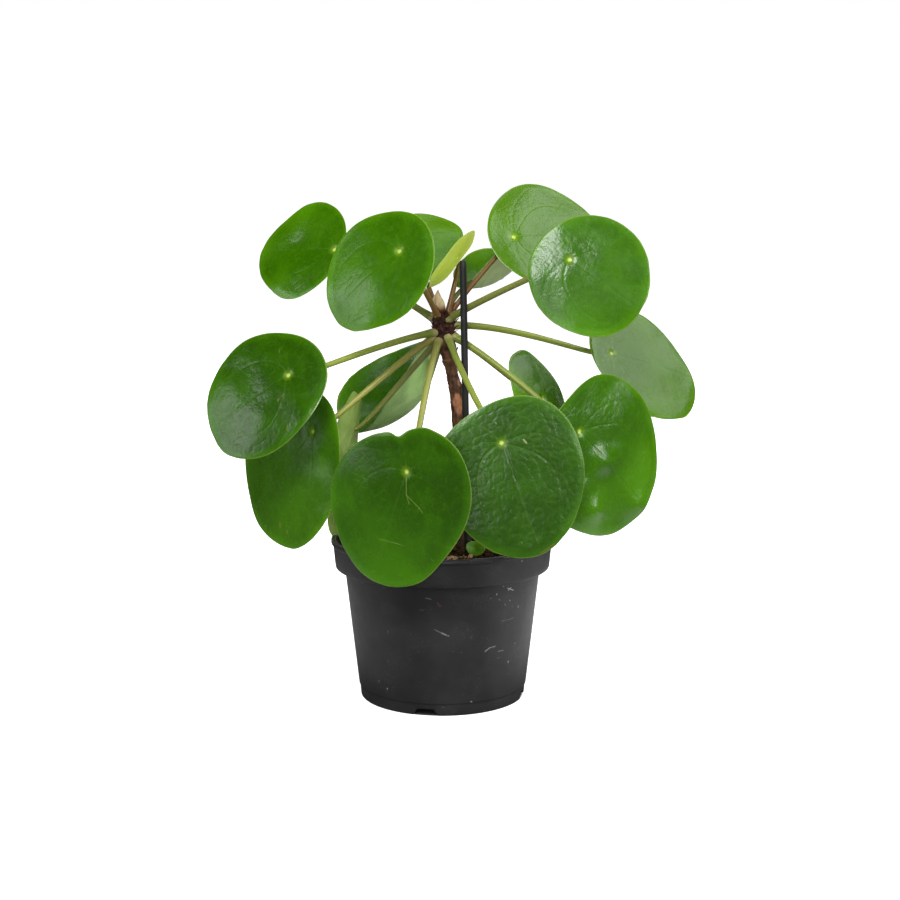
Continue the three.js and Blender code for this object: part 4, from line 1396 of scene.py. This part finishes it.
LEAVES = (
    Leaf(
        "top_left", (-58, 14, 240.4), -36, 30, -89, 60, 57, 0.78, 0.01, (2.2, 1.9),
        ((3, 0.034, 4), (4, 0.03, 5)), 0.5, (204, 165), -2,
        bulges=((-62, 0.85, 11, 2.0), (-8, 0.5, 10, -1.8), (70, 0.95, 11, 1.4)),
        glow=((-60, 0.9, 14, 0.6), (0, 0.95, 8, 0.5), (60, 0.9, 8, 0.3)), stalk=OLIVE,
    ),
    Leaf(
        "upper_left", (-21.5, -44, 241.5), -31, 24, -48, 66.5, 62.5, 0.45, 0.02, (4, 1.7),
        ((4, 0.02, 18),), 0.5, (205, -115), 3,
        glow=((-40, 0.9, 20, 0.45), (40, 0.8, 14, 0.3)), girth=0.8, stalk=PINK,
    ),
    Leaf(
        "upper_back", (-16, 40, 245.2), -5, 57, 15, 62, 57, 0.12, 0, (3, 2.5),
        ((2, 0.04, 140), (3, 0.03, 140)), 0.6, root=(205, 110),
        glow=((180, 0.95, 16, 0.8), (120, 0.8, 14, 0.5)),
        finish=BladeFinish(Tone.FRESH), girth=0.75, stalk=PINK,
    ),
    Leaf(
        "young", (7.4, 5, 236.2), -72, 38, 0, 38, 30, 0.1, 0, (-1.5, -1.5),
        wave=0.3, root=(205, -40), quilt=0.02, crinkle=0.2,
        finish=BladeFinish(Tone.YOUNG, 0.03, 0.02, 0.45, "b9c763"), girth=0.8, stalk=RUSSET,
        upright=(0, 1, 0),
    ),
    Leaf(
        "upper_back_right", (28.5, 60, 222.5), -59, 63, 86, 51, 46, 0.25, 0, (-18.2, -7.5),
        wave=0.3, root=(202.5, 85), bow=22, neck=0.03, girth=0.75,
        finish=BladeFinish(Tone.FRESH), stalk=OLIVE,
    ),
    Leaf(
        "top_right", (38.5, 18, 247), 21, 34, 94, 69, 65, 0.58, -0.01, (2.5, 2.1),
        ((3, 0.02, -18), (4, 0.013, -6)), 0.5, (205, 35), 3,
        glow=((150, 0.7, 16, 0.3), (-90, 0.9, 12, 0.4)), finish=BladeFinish(Tone.PALE),
        girth=0.75, stalk=RUSSET,
    ),
    Leaf(
        "upper_right", (64.5, -38, 237), 3, 17, 54, 64, 61, 0.41, 0.01, (3.2, 2.6),
        ((3, 0.016, -29), (2, 0.025, -88)), 0.5, (203.5, -60), 3,
        glow=((-60, 0.9, 16, 0.4),), stalk=OLIVE,
    ),
    Leaf(
        "far_right", (91.8, 16, 184.5), 44, 36, 71, 77, 72, 0.62, 0, (2.2, 1.7),
        ((3, 0.018, -19),), 0.5, (200.5, 4), 8, finish=BladeFinish(Tone.PALE), stalk=GREEN,
    ),
    Leaf(
        "low_right", (71, -36, 149), 37, -3, 47, 88, 83, 0.53, 0.03, (1.3, 4),
        ((3, 0.028, -5), (4, 0.02, 55)), 0.7, (195.5, -22), 6, quilt=0.08, crinkle=0.8,
        bulges=((-13, 0.33, 7, 2.6), (8, 0.42, 7, 1.9), (-50, 0.75, 7, 2.6), (-62, 0.55, 6, 1.5),
                (-2, 0.93, 7, 2.2)),
        glow=((20, 0.9, 22, 0.6), (-50, 0.8, 16, 0.5)), stalk=GREEN,
    ),
    Leaf(
        "back_right", (56.2, 35, 158.0), 60, 25, 5, 62, 56, 0.05, 0, (3, 3),
        wave=0.6, root=(196, 35), bow=3, glow=((-90, 0.6, 18, 1.0),),
        finish=BladeFinish(Tone.FRESH), stalk=OLIVE,
    ),
    Leaf(
        "front_right", (30, -62, 147), 10, 3, 20, 82, 76, 0.46, 0.05, (2.4, 3.4),
        ((3, 0.037, 3), (4, 0.014, -28)), 0.6, (196, -68), -6, -1, quilt=0.26, crinkle=0.6,
        marks=(
            Mark((104, 0.29), (95, 0.31), 0.35, "a8a578", 0.7),
            Mark((178, 0.5), (178, 0.52), 0.3, "8fae62"),
            Mark((-14, 0.86), (-11, 0.9), 0.3, "9fb47c"),
            Mark((0, 0.985), (12, 0.98), 0.25, "7d6a34", 0.5),
        ),
        finish=BladeFinish(Tone.DEEP, 0.16, 0.05, 0.36), stalk=GREEN,
    ),
    Leaf(
        "front_left", (-17.5, -78, 135), -32, 1, -20, 84, 79, 0.42, -0.11, (2.1, 3.9),
        ((2, -0.078, 45), (3, 0.064, 16)), 0.5, (193.5, -130), 5, -2,
        glow=((10, 0.95, 28, 0.8), (-70, 0.9, 14, 0.5)), marks=(
            Mark((38, 0.04), (30, 0.2), 0.16), Mark((30, 0.2), (38, 0.29), 0.08),
            Mark((30, 0.2), (64, 0.4), 0.08), Mark((64, 0.4), (66, 0.46), 0.05),
            Mark((-18, 0.72), (-5, 0.63), 0.04), Mark((-5, 0.63), (13, 0.61), 0.08),
            Mark((13, 0.61), (29, 0.66), 0.08), Mark((29, 0.66), (44, 0.76), 0.08),
            Mark((44, 0.76), (56, 0.92), 0.04), Mark((-79, 0.54), (-78, 0.53), 0.2),
            Mark((-2, 0.92), (-1.5, 0.915), 0.15),
        ), dents=((-159, 7, 0.07), (178, 9, -0.03)), finish=DEEP, stalk=TAN,
    ),
    Leaf(
        "low_left", (-68, -22, 147), -48, 8, -41, 89, 84, 0.59, -0.05, (2.7, 2.1),
        ((3, 0.011, -55),), 0.7, (195.5, -165), 3, glow=((-10, 0.5, 50, 0.3),), marks=(
            Mark((27, 0.82), (29, 0.86), 0.3, "a3824a", 0.5),
            Mark((38, 0.86), (40, 0.88), 0.3, "a3824a", 0.5),
        ), stalk=YELLOW,
    ),
    Leaf(
        "far_left", (-79, -34, 178), -28, 28, -52, 73, 68, 0.46, -0.03, (3.5, 1.8),
        ((3, 0.02, 43), (1, -0.012, 0)), 0.5, (197.5, -140), 4, glow=((-30, 0.9, 16, 0.4),), marks=(
            Mark((-122, 0.6), (-119, 0.52), 0.2, "8e8c42"),
            Mark((66, 0.32), (80, 0.27), 0.14, "a09a54"),
            Mark((84, 0.26), (92, 0.26), 0.2, "a09a54"),
            Mark((95, 0.76), (93, 0.82), 0.14, "8e8c42"),
        ), finish=DEEP, quilt=0.06, stalk=GREEN,
    ),
    Leaf(
        "edge_left", (-48.2, 6, 144.8), -105, 8, 0, 80, 43, 0.45, 0, (-1, -3.5),
        lobes=((3, 0.08, 135),), wave=0.8, root=(192, 165), bow=1, marks=(
            Mark((160, 0.97), (162, 0.97), 0.6, "0c0f08", 1.0),
            Mark((172, 0.76), (172, 0.77), 0.45, "0c0f08", 1.0),
        ), finish=BladeFinish(Tone.BACKLIT), stalk=OLIVE,
    ),
    Leaf(
        "back_left", (-11.8, 59, 159.2), -68, 40, 19, 73, 73, 0.25, 0, (-16.2, -28.4),
        wave=0.3, root=(196, 95), neck=0.03, stalk=OLIVE,
    ),
)


@dataclass
class Plantlet:
    """The tiny leaf that has come up in front of the stake."""

    leaf: Leaf = Leaf(
        "plantlet", (16.6, -20.5, 85.0), 8, 45, 82, 10, 9.2, 0.2, 0, (-0.5, 0.8),
        wave=0.1, bow=4, quilt=0.01, crinkle=0.05, nick=0.1,
        finish=BladeFinish(Tone.FRESH, 0.03, 0.02, 0.4, dot=0.1), stalk=OLIVE,
    )
    foot: Point = (20.5, -14, 70)

    def build(self) -> None:
        """Makes its blade and its stalk."""
        self.leaf.build_blade("plantlet_leaf", rows=24, columns=96)
        self.leaf.build_stalk(np.array(self.foot, float), "plantlet_stalk", (0.8, 0.6))


# ---------------------------------------------------------------- pot and soil


@dataclass(frozen=True)
class Scratch(Mark):
    """A scratch or stain on the pot's wall."""

    half: float = 0.15
    colour: str = "9a9c98"
    strength: float = 0.6


SCRATCHES = (
    Scratch((-49.9, 67.6), (-44.8, 65.7), 0.12, "b5b5ae", 0.7),
    Scratch((-49.0, 66.2), (-46.8, 67.4), 0.1, "b5b5ae", 0.6),
    Scratch((-57.1, 65.3), (-57.1, 65.0), 0.2),
    Scratch((-38.6, 55.9), (-38.6, 55.3), 0.2),
    Scratch((-51.8, 49.8), (-42.4, 50.1), 0.05, "6a6c69", 0.5),
    Scratch((-94.8, 48.2), (-90.0, 46.1), 0.06, "7a7c78"),
    Scratch((-90.0, 46.1), (-85.9, 44.4), 0.2, "8f908a", 0.7),
    Scratch((-92.5, 62.5), (-91.0, 60.8), 0.3, "5a4034", 0.7),
    Scratch((-99.1, 65.0), (-96.3, 64.6), 0.12, "7f7f7a", 0.5),
    Scratch((-62.6, 34.6), (-59.5, 36.2), 0.12, "a0a098", 0.6),
    Scratch((-59.5, 36.2), (-55.5, 36.5), 0.08, "909088", 0.6),
    Scratch((-52.9, 33.4), (-48.8, 33.3), 0.1, "8c8c86", 0.5),
    Scratch((-43.2, 26.2), (-43.2, 25.6), 0.22, "a9a9a2", 0.7),
    Scratch((-128.8, 12.4), (-128.8, 12.2), 0.2, "a9a9a2"),
    Scratch((-70.6, 7.5), (-70.2, 7.4), 0.18, "a9a9a2"),
    Scratch((-45.5, 82.3), (-45.2, 82.3), 0.2, "a9a9a2"),
    Scratch((-124.6, 44.8), (-124.4, 43.0), 0.08, "7f7f7a", 0.5),
    Scratch((-136.1, 15.7), (-135.8, 15.0), 0.1, "7f7f7a", 0.5),
    Scratch((-55.0, 62.0), (-54.6, 61.8), 0.16, "8c8c86", 0.6),
    Scratch((-50.5, 58.8), (-50.2, 58.5), 0.14, "8c8c86", 0.6),
    Scratch((-47.0, 60.5), (-46.6, 60.2), 0.16, "8c8c86", 0.6),
    Scratch((-53.0, 69.0), (-52.6, 68.8), 0.14, "8c8c86", 0.6),
    Scratch((-61.0, 63.5), (-60.6, 63.1), 0.16, "8c8c86", 0.6),
    Scratch((-44.5, 56.9), (-44.2, 56.5), 0.14, "8c8c86", 0.6),
)


@dataclass
class Pot:
    """The tapered nursery pot with its deep band, lip, crease, notched foot and drain holes.

    Attributes:
        height: The rim's height.
        rim: The rim's radius.
        lip: The rim's height over the band.
        band_top: The band's upper radius.
        band_bottom: The band's lower radius.
        band: The height from the band's foot to the rim.
        shoulder: The wall's radius under the band.
        foot: The wall's radius at the bottom.
        wall: The plastic's thickness.
        crease: The crease's height.
        foot_ring: The width of the ring that it stands on.
        arch: The floor's height over the ground outside the middle.
        middle: The radius of the flat middle, which touches the ground.
        notches: How many notches the foot ring has.
        first_notch: The first notch's compass angle.
        notch_wide: A notch's width at the ground.
        notch_narrow: Its width at the top.
        holes: How many drain holes the floor has.
        hole: A hole's radius.
        hole_circle: The radius of the circle that the holes stand on.
        columns: Steps round the pot.

    DRILL holds the drill's lower and upper height, and NOTCH_RISE a notch's height as a share of
    the arch's.
    """

    height: float = 86.5
    rim: float = 60
    lip: float = 2.6
    band_top: float = 59
    band_bottom: float = 57.7
    band: float = 15.5
    shoulder: float = 52.8
    foot: float = 44.7
    wall: float = 1.4
    crease: float = 6.5
    foot_ring: float = 2.6
    arch: float = 3.5
    middle: float = 18
    notches: int = 4
    first_notch: float = -101.6
    notch_wide: float = 13
    notch_narrow: float = 9
    holes: int = 8
    hole: float = 3.5
    hole_circle: float = 30
    columns: int = 360

    DRILL = (1.5, 8.0)
    NOTCH_RISE = 0.97

    def ledge(self) -> float:
        """The height of the ledge where the band begins."""
        return self.height - self.band

    def wall_point(self, compass: float, height: float) -> Point:
        """A point of the outer wall.

        Args:
            compass: Its compass angle in degrees.
            height: Its height in millimetres.

        Returns:
            Its place in millimetres.
        """
        if height > self.ledge():
            share = (height - self.ledge()) / (self.band - self.lip)
            radius = self.band_bottom + (self.band_top - self.band_bottom) * share
        else:
            radius = self.foot + (self.shoulder - self.foot) * height / self.ledge()
        turn = math.radians(compass)
        return (radius * math.cos(turn), radius * math.sin(turn), height)

    def inside(self) -> list[Point]:
        """The inside's corners.

        Returns:
            Each corner's radius, height and rounding, from the rim down.
        """
        floor, ledge = self.arch + self.wall, self.ledge() + self.wall
        return [
            (self.band_top - self.wall, self.height, 0.5),
            (self.band_bottom - self.wall, ledge, 0.6),
            (self.shoulder - self.wall, ledge, 0.8),
            (self.foot - self.wall, floor, 2.0),
            (self.middle + 1.5 + self.wall, floor, 0.6),
            (self.middle, self.wall, 0.6),
        ]

    def outside(self) -> list[Point]:
        """The outside's corners.

        Returns:
            Each corner's radius, height and rounding, from the middle of the underside up.
        """
        crease = self.foot + (self.shoulder - self.foot) / self.ledge() * self.crease
        lip = self.height - self.lip
        return [
            (self.middle, 0, 0.3),
            (self.middle + 1.5, self.arch, 0.5),
            (self.foot - self.foot_ring, self.arch, 0.5),
            (self.foot - self.foot_ring, 0, 0.3),
            (self.foot - 0.3, 0, 0.8),
            (crease - 0.5, self.crease - 0.4, 0.35),
            (crease, self.crease + 0.4, 0.35),
            (self.shoulder, self.ledge(), 0.7),
            (self.band_bottom, self.ledge(), 0.9),
            (self.band_top, lip, 0.3),
            (self.rim, lip + 0.35, 0.4),
            (self.rim, self.height, 0.8),
        ]

    @staticmethod
    def rounded(corners: list[Point], step: float = 2.5) -> np.ndarray:
        """A profile through corners, each replaced by a short parabola, with points between.

        Args:
            corners: Radius, height and rounding; the first and last stay sharp.
            step: The longest distance between points on straight stretches.

        Returns:
            Rows of radius and height.
        """
        points = [np.array(corners[0][:2], float)]
        for before, here, after in zip(corners, corners[1:], corners[2:]):
            place = np.array(here[:2], float)
            back, on = np.array(before[:2]) - place, np.array(after[:2]) - place
            cut = min(here[2], 0.45 * np.linalg.norm(back), 0.45 * np.linalg.norm(on))
            a = place + back / np.linalg.norm(back) * cut
            b = place + on / np.linalg.norm(on) * cut
            t = np.linspace(0, 1, 6)[:, None]
            points.extend((1 - t) ** 2 * a + 2 * (1 - t) * t * place + t**2 * b)
        points.append(np.array(corners[-1][:2], float))
        filled = [points[0]]
        for a, b in zip(points, points[1:]):
            parts = max(1, math.ceil(np.linalg.norm(b - a) / step))
            filled.extend(a + (b - a) * k / parts for k in range(1, parts + 1))
        return np.array(filled)

    def build(self) -> None:
        """Makes the pot: a turned profile whose foot is raised to an arch at each notch.

        Below the crease a point's height z becomes low + z (1 - low / crease), where low is the
        notch's outline at that place round the foot.
        """
        corners = [(0, 0, 0), *self.outside(), *self.inside(), (0, self.wall, 0)]
        profile = self.rounded(corners)
        patch = lathe(profile, self.columns)
        points = patch.points
        angle = np.arctan2(points[..., 1], points[..., 0])
        spread = 2 * np.pi / self.notches
        turn = (angle - math.radians(self.first_notch) + spread / 2) % spread - spread / 2
        off = np.abs(turn) * self.foot
        slant = (self.notch_wide - self.notch_narrow) / 2
        low = self.NOTCH_RISE * self.arch * np.clip((self.notch_wide / 2 - off) / slant, 0, 1)
        radius = np.hypot(points[..., 0], points[..., 1])
        ring = radius > self.foot - self.foot_ring - 0.01
        below = points[..., 2] < self.arch + 0.01
        inner = ring & below & (radius < self.foot - self.foot_ring + 0.4)
        outer = ring & ~inner & (points[..., 2] < self.crease - 0.5)
        top = np.where(inner, self.arch, self.crease - 0.5)
        lifted = low + points[..., 2] * (1 - low / top)
        points[..., 2] = np.where(inner | outer, lifted, points[..., 2])
        pot = mesh_object("pot_shell", [patch])
        self.drill(pot)
        marks = [
            (self.wall_point(*scratch.start), self.wall_point(*scratch.end), scratch)
            for scratch in SCRATCHES
        ]
        settle(pot, PlasticFinish().material("pot_plastic", marks), "pot_plastic", "pot")

    def drill(self, pot: bpy.types.Object) -> None:
        """Cuts the drain holes through the floor with one joined cutter, then drops the cutter.

        Args:
            pot: The pot, whose mesh is replaced.
        """
        low, high = self.DRILL
        profile = np.array([(0, low), (self.hole, low), (self.hole, high), (0, high)])
        pins = []
        for turn in ring_angles(self.holes):
            pin = lathe(profile, 40)
            for part in (pin.points, pin.start, pin.end):
                part += self.hole_circle * np.array([math.cos(turn), math.sin(turn), 0])
            pins.append(pin)
        cutter = mesh_object("drill", pins)
        cut = pot.modifiers.new("holes", "BOOLEAN")
        cut.object = cutter
        cut.operation = "DIFFERENCE"
        cut.solver = "EXACT"
        bpy.context.view_layer.update()
        pierced = pot.evaluated_get(bpy.context.evaluated_depsgraph_get())
        baked = bpy.data.meshes.new_from_object(pierced)
        pot.modifiers.clear()
        pot.data = baked
        bpy.data.objects.remove(cutter)


@dataclass
class Soil:
    """The peat that fills the pot, with crumbs and husks on it.

    Attributes:
        pot: The pot that it fills.
        edge_height: The height of its top beside the wall.
        rise: How much higher its middle is.
        clearance: The gap to the pot.
        crumbs: How many crumbs lie on it.
        husks: How many husks lie on it.
        heap: How many husks lie on the heap.
    """

    pot: Pot
    edge_height: float = 77.5
    rise: float = 2.5
    clearance: float = 0.3
    crumbs: int = 1500
    husks: int = 110
    heap: int = 40

    HEAP_PLACE = (9.5, -30, 9)
    GOLD = (1 + math.sqrt(5)) / 2

    def edge(self) -> float:
        """The radius of the soil's top."""
        return self.pot.band_bottom - self.pot.wall - self.clearance

    def height(self, x: np.ndarray, y: np.ndarray) -> np.ndarray:
        """The top's height: a shallow dome, waves of two sizes, and crumbly noise.

        Args:
            x: The places' first coordinate in millimetres.
            y: Their second coordinate.

        Returns:
            The height at each place.
        """
        share = np.hypot(x, y) / self.edge()
        coarse = np.sin(0.13 * x + 1.3) * np.cos(0.15 * y - 0.4)
        fine = np.sin(0.31 * x - 0.27 * y) * np.cos(0.23 * x + 0.36 * y + 2)
        spots = np.stack([x, y, np.zeros_like(x)], -1)
        crumbly = Noise(9).layered(spots, 7, 4)
        dome = self.edge_height + self.rise * (1 - share**2)
        return dome + 0.7 * (coarse + 0.7 * fine) + crumbly

    def build(self) -> None:
        """Makes the body of soil as one turned surface, then what lies on it."""
        below = [
            (radius - self.clearance, height + self.clearance)
            for radius, height, _ in reversed(self.pot.inside()[1:])
        ]
        top = [(radius, self.edge_height) for radius in np.linspace(self.edge(), 0, 60)]
        profile = np.array([(0, self.pot.wall + self.clearance), *below, *top])
        patch = lathe(profile, 200)
        points = patch.points
        high = points[..., 2] > self.edge_height - 0.01
        points[..., 2] = np.where(high, self.height(points[..., 0], points[..., 1]), points[..., 2])
        patch.end = np.array([0, 0, float(self.height(np.zeros(1), np.zeros(1))[0])])
        soil = mesh_object("soil_body", [patch])
        material = SoilFinish().material("moist_soil")
        settle(soil, material, "moist_soil", "soil")
        crumbs = self.scatter("soil_crumbs", self.crumbs, (0.4, 2.0), (1, 0.8, 0.62), 21)
        settle(crumbs, material, "moist_soil")
        husks = self.scatter("soil_husks", self.husks, (0.7, 2.0), (1, 0.45, 0.25), 22)
        settle(husks, HuskFinish().material("husks"), "moist_soil")
        heap = self.scatter("soil_heap", self.heap, (0.8, 2.2), (1, 0.7, 0.55), 23, self.HEAP_PLACE)
        settle(heap, HuskFinish("c09a70").material("pale_husks"), "moist_soil")

    def scatter(
        self, name: str, count: int, sizes: Pair, shape: Point, seed: int,
        area: Point = (0, 0, 54.5),
    ) -> bpy.types.Object:
        """Lumps that lie on the soil, all in one mesh.

        Each lump is an icosahedron whose corners are moved in and out at random, stretched to
        shape, turned at random, and sunk by a third into the soil.

        Args:
            name: The piece's name.
            count: How many lumps.
            sizes: The smallest and largest radius in millimetres.
            shape: The stretch along the lump's three axes.
            seed: The seed of the random draws.
            area: The x, y and radius of the disc that they lie in.

        Returns:
            The new object.
        """
        rng = np.random.default_rng(seed)
        sides = [(-1, 1), (1, 1), (-1, -1), (1, -1)]
        base = [(a, b * self.GOLD, 0) for a, b in sides] + [(0, a, b * self.GOLD) for a, b in sides]
        base += [(b * self.GOLD, 0, a) for a, b in sides]
        base = np.array(base) / math.hypot(1, self.GOLD)
        faces = np.array(
            [(0, 11, 5), (0, 5, 1), (0, 1, 7), (0, 7, 10), (0, 10, 11), (1, 5, 9), (5, 11, 4),
             (11, 10, 2), (10, 7, 6), (7, 1, 8), (3, 9, 4), (3, 4, 2), (3, 2, 6), (3, 6, 8),
             (3, 8, 9), (4, 9, 5), (2, 4, 11), (6, 2, 10), (8, 6, 7), (9, 8, 1)]
        )
        middle_x, middle_y, within = area
        reach = within * np.sqrt(rng.uniform(0, 1, count))
        compass = rng.uniform(0, 2 * np.pi, count)
        x, y = middle_x + reach * np.cos(compass), middle_y + reach * np.sin(compass)
        size = sizes[0] + (sizes[1] - sizes[0]) * rng.uniform(0, 1, count) ** 2
        turns = rng.normal(size=(count, 3, 3))
        turns[:, 2, :2] *= 0.35
        turns, _ = np.linalg.qr(turns)
        turns *= np.sign(np.linalg.det(turns))[:, None, None]
        lumps = base[None] * rng.uniform(0.75, 1.2, (count, 12, 1)) * np.array(shape)
        lumps = np.einsum("kij,knj->kni", turns, lumps) * size[:, None, None]
        height = self.height(x, y) + size * shape[2] * 0.35
        lumps += np.stack([x, y, height], -1)[:, None]
        corners = (faces[None] + 12 * np.arange(count)[:, None, None]).reshape(-1, 3)
        mesh = bpy.data.meshes.new(name)
        mesh.from_pydata((lumps.reshape(-1, 3) * MM).tolist(), [], corners.tolist())
        mesh.update()
        return linked(name, mesh)


# ---------------------------------------------------------------- studio


@dataclass
class Studio:
    """The plain pale floor, soft lights and the camera at the photograph's angle.

    Attributes:
        eye: The camera's place in millimetres.
        pitch: How far it looks down.
        lens: Its focal length for a frame as wide as sensor.
        sensor: The frame's width in millimetres.
        far: How far the floor reaches each way, in metres.
    """

    eye: Point = (4.1, -889.4, 271.5)
    pitch: float = 8.8
    lens: float = 67.15
    sensor: float = 36
    far: float = 30

    def build(self) -> None:
        """Makes the floor, the world, the lights and the camera."""
        self.floor()
        self.world()
        for light in SOFTBOXES:
            light.build()
        data = bpy.data.cameras.new("camera")
        data.lens = self.lens
        data.sensor_width = self.sensor
        data.clip_start = 0.05
        camera = linked("camera", data)
        camera.location = [c * MM for c in self.eye]
        camera.rotation_euler = (math.radians(90 - self.pitch), 0, 0)
        bpy.context.scene.camera = camera
        view = bpy.context.scene.view_settings
        view.view_transform = "Standard"
        view.look = "None"

    def floor(self) -> None:
        """A wide plane under the pot: pale where the camera sees it, and dark to the lamps' light.

        Under the foot the camera sees it dark: painted shadow, so that the notches read dark. Outside
        the foot it glows for the camera, more far away than near by. In glossy reflections it glows
        only beside the pot: a painted reflection, which gives the pot's sides their pale edges.
        """
        mesh = bpy.data.meshes.new("floor")
        corners = [(x * self.far, y * self.far, 0) for x, y in ((-1, -1), (1, -1), (1, 1), (-1, 1))]
        mesh.from_pydata(corners, [], [(0, 1, 2, 3)])
        floor = linked("floor", mesh)
        s = Shader("floor", [])
        seen = s.node("LightPath", {}, "Is Camera Ray")
        glossy = s.node("LightPath", {}, "Is Glossy Ray")
        away = s.vector("LENGTH", s.object, (0.0, 0.0, 0.0), 1)
        # Under the foot the floor is dark for the camera: painted shadow in the notches.
        outside = s.step(away, 0.043, 0.0444)
        s.set(Base_Color=s.mix(s.times(seen, outside), (0.08, 0.08, 0.08), (0.75, 0.75, 0.75)))
        s.set(Roughness=0.9, Specular_IOR_Level=0.0, Emission_Color=(1.0, 1.0, 1.0))
        glow = s.math("MULTIPLY_ADD", outside, 0.75, s.step(away, 0.05, 0.4, 0.0, 0.4))
        x = s.node("SeparateXYZ", {0: s.object}, "X")
        y = s.node("SeparateXYZ", {0: s.object}, "Y")
        # Beside the pot the floor glows in glossy rays: a painted reflection on the pot's sides.
        beside = s.math("ADD", s.step(x, 0.05, 0.12, 0, 0.9), s.step(x, -0.12, -0.05, 0.4, 0))
        beside = s.times(beside, s.step(y, -0.16, -0.05))
        beside = s.times(beside, s.step(away, 0.22, 0.32, 1, 0))
        s.set(Emission_Strength=s.math("MULTIPLY_ADD", seen, glow, s.times(glossy, beside)))
        s.material.cycles.emission_sampling = "NONE"
        floor.visible_shadow = False
        mesh.materials.append(s.material)

    def world(self) -> None:
        """A white surround that only the camera sees: all light comes from the lamps."""
        world = bpy.data.worlds.new("studio")
        world.use_nodes = True
        tree = world.node_tree
        path = tree.nodes.new("ShaderNodeLightPath")
        background = tree.nodes["Background"]
        tree.links.new(path.outputs["Is Camera Ray"], background.inputs["Strength"])
        background.inputs["Color"].default_value = (1, 1, 1, 1)
        bpy.context.scene.world = world


@dataclass(frozen=True)
class Softbox:
    """A soft rectangular light that looks at the plant.

    Attributes:
        name: Its name.
        bearing: The direction it stands in, 0 towards the camera, positive to the right.
        rise: Its angle above level.
        reach: Its distance from the plant in metres.
        size: Its width and height in metres.
        glare: Its brightness, where white paper in full light is 1.
        mirrored: True where glossy surfaces reflect it.
    """

    name: str
    bearing: float
    rise: float
    reach: float
    size: Pair
    glare: float
    mirrored: bool = True

    AIM = (0.0, 0.0, 0.17)

    def build(self) -> None:
        """Makes the light. Its power is glare x pi x its area."""
        data = bpy.data.lights.new(self.name, "AREA")
        data.shape = "RECTANGLE"
        data.size, data.size_y = self.size
        data.energy = self.glare * math.pi * self.size[0] * self.size[1]
        lamp = linked(self.name, data)
        turn, rise = math.radians(self.bearing), math.radians(self.rise)
        away = (math.sin(turn) * math.cos(rise), -math.cos(turn) * math.cos(rise), math.sin(rise))
        lamp.location = [a + self.reach * c for a, c in zip(self.AIM, away)]
        lamp.rotation_euler = (math.pi / 2 - rise, 0, turn)
        lamp.visible_glossy = self.mirrored
        data.cycles.use_multiple_importance_sampling = self.mirrored
        lamp.visible_camera = False


FILL = 0.48
FILLS = {"front": (0, 20), "left": (-90, 20), "right": (90, 20), "back": (180, 20), "top": (0, 90)}
SOFTBOXES = (
    Softbox("key", -9, 38, 1.4, (0.5, 0.46), 18.0),
    Softbox("left", -80, 22, 1.3, (0.34, 0.2), 4.6),
    Softbox("left_low", -84, 9, 1.3, (0.75, 0.42), 1.3),
    Softbox("right", 80, 50, 1.3, (0.8, 0.6), 3.3),
    Softbox("right_back", 114, 34, 1.3, (0.9, 0.6), 1.6),
    Softbox("right_low", 66, 9, 1.2, (0.4, 0.34), 10.0),
    Softbox("front", 0, 6, 1.7, (0.5, 0.8), 1.9),
    Softbox("low_front", -4, -5, 0.8, (0.26, 0.24), 4.0),
    Softbox("front_right", 30, 22, 1.4, (0.35, 0.35), 1.0),
    Softbox("top_back", 170, 70, 1.3, (0.6, 0.6), 0.9),
    Softbox("backdrop", 180, 6, 1.9, (2.4, 0.7), 0.8),
    Softbox("fill_low", 0, -90, 0.8, (1.6, 1.6), 0.35, False),
    *(Softbox(f"fill_{side}", *spot, 1.5, (2.0, 2.0), FILL, False) for side, spot in FILLS.items()),
)


def main() -> None:
    """Builds the plant, its pot and the studio in order."""
    logging.basicConfig(level=logging.INFO, format="%(name)s %(message)s")
    Studio().build()
    pot = Pot()
    pot.build()
    Soil(pot).build()
    trunk = Trunk()
    trunk.build()
    Bud().build()
    Stake().build()
    for leaf in LEAVES:
        leaf.build(trunk)
    Plantlet().build()
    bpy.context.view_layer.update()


if __name__ == "__main__":
    main()
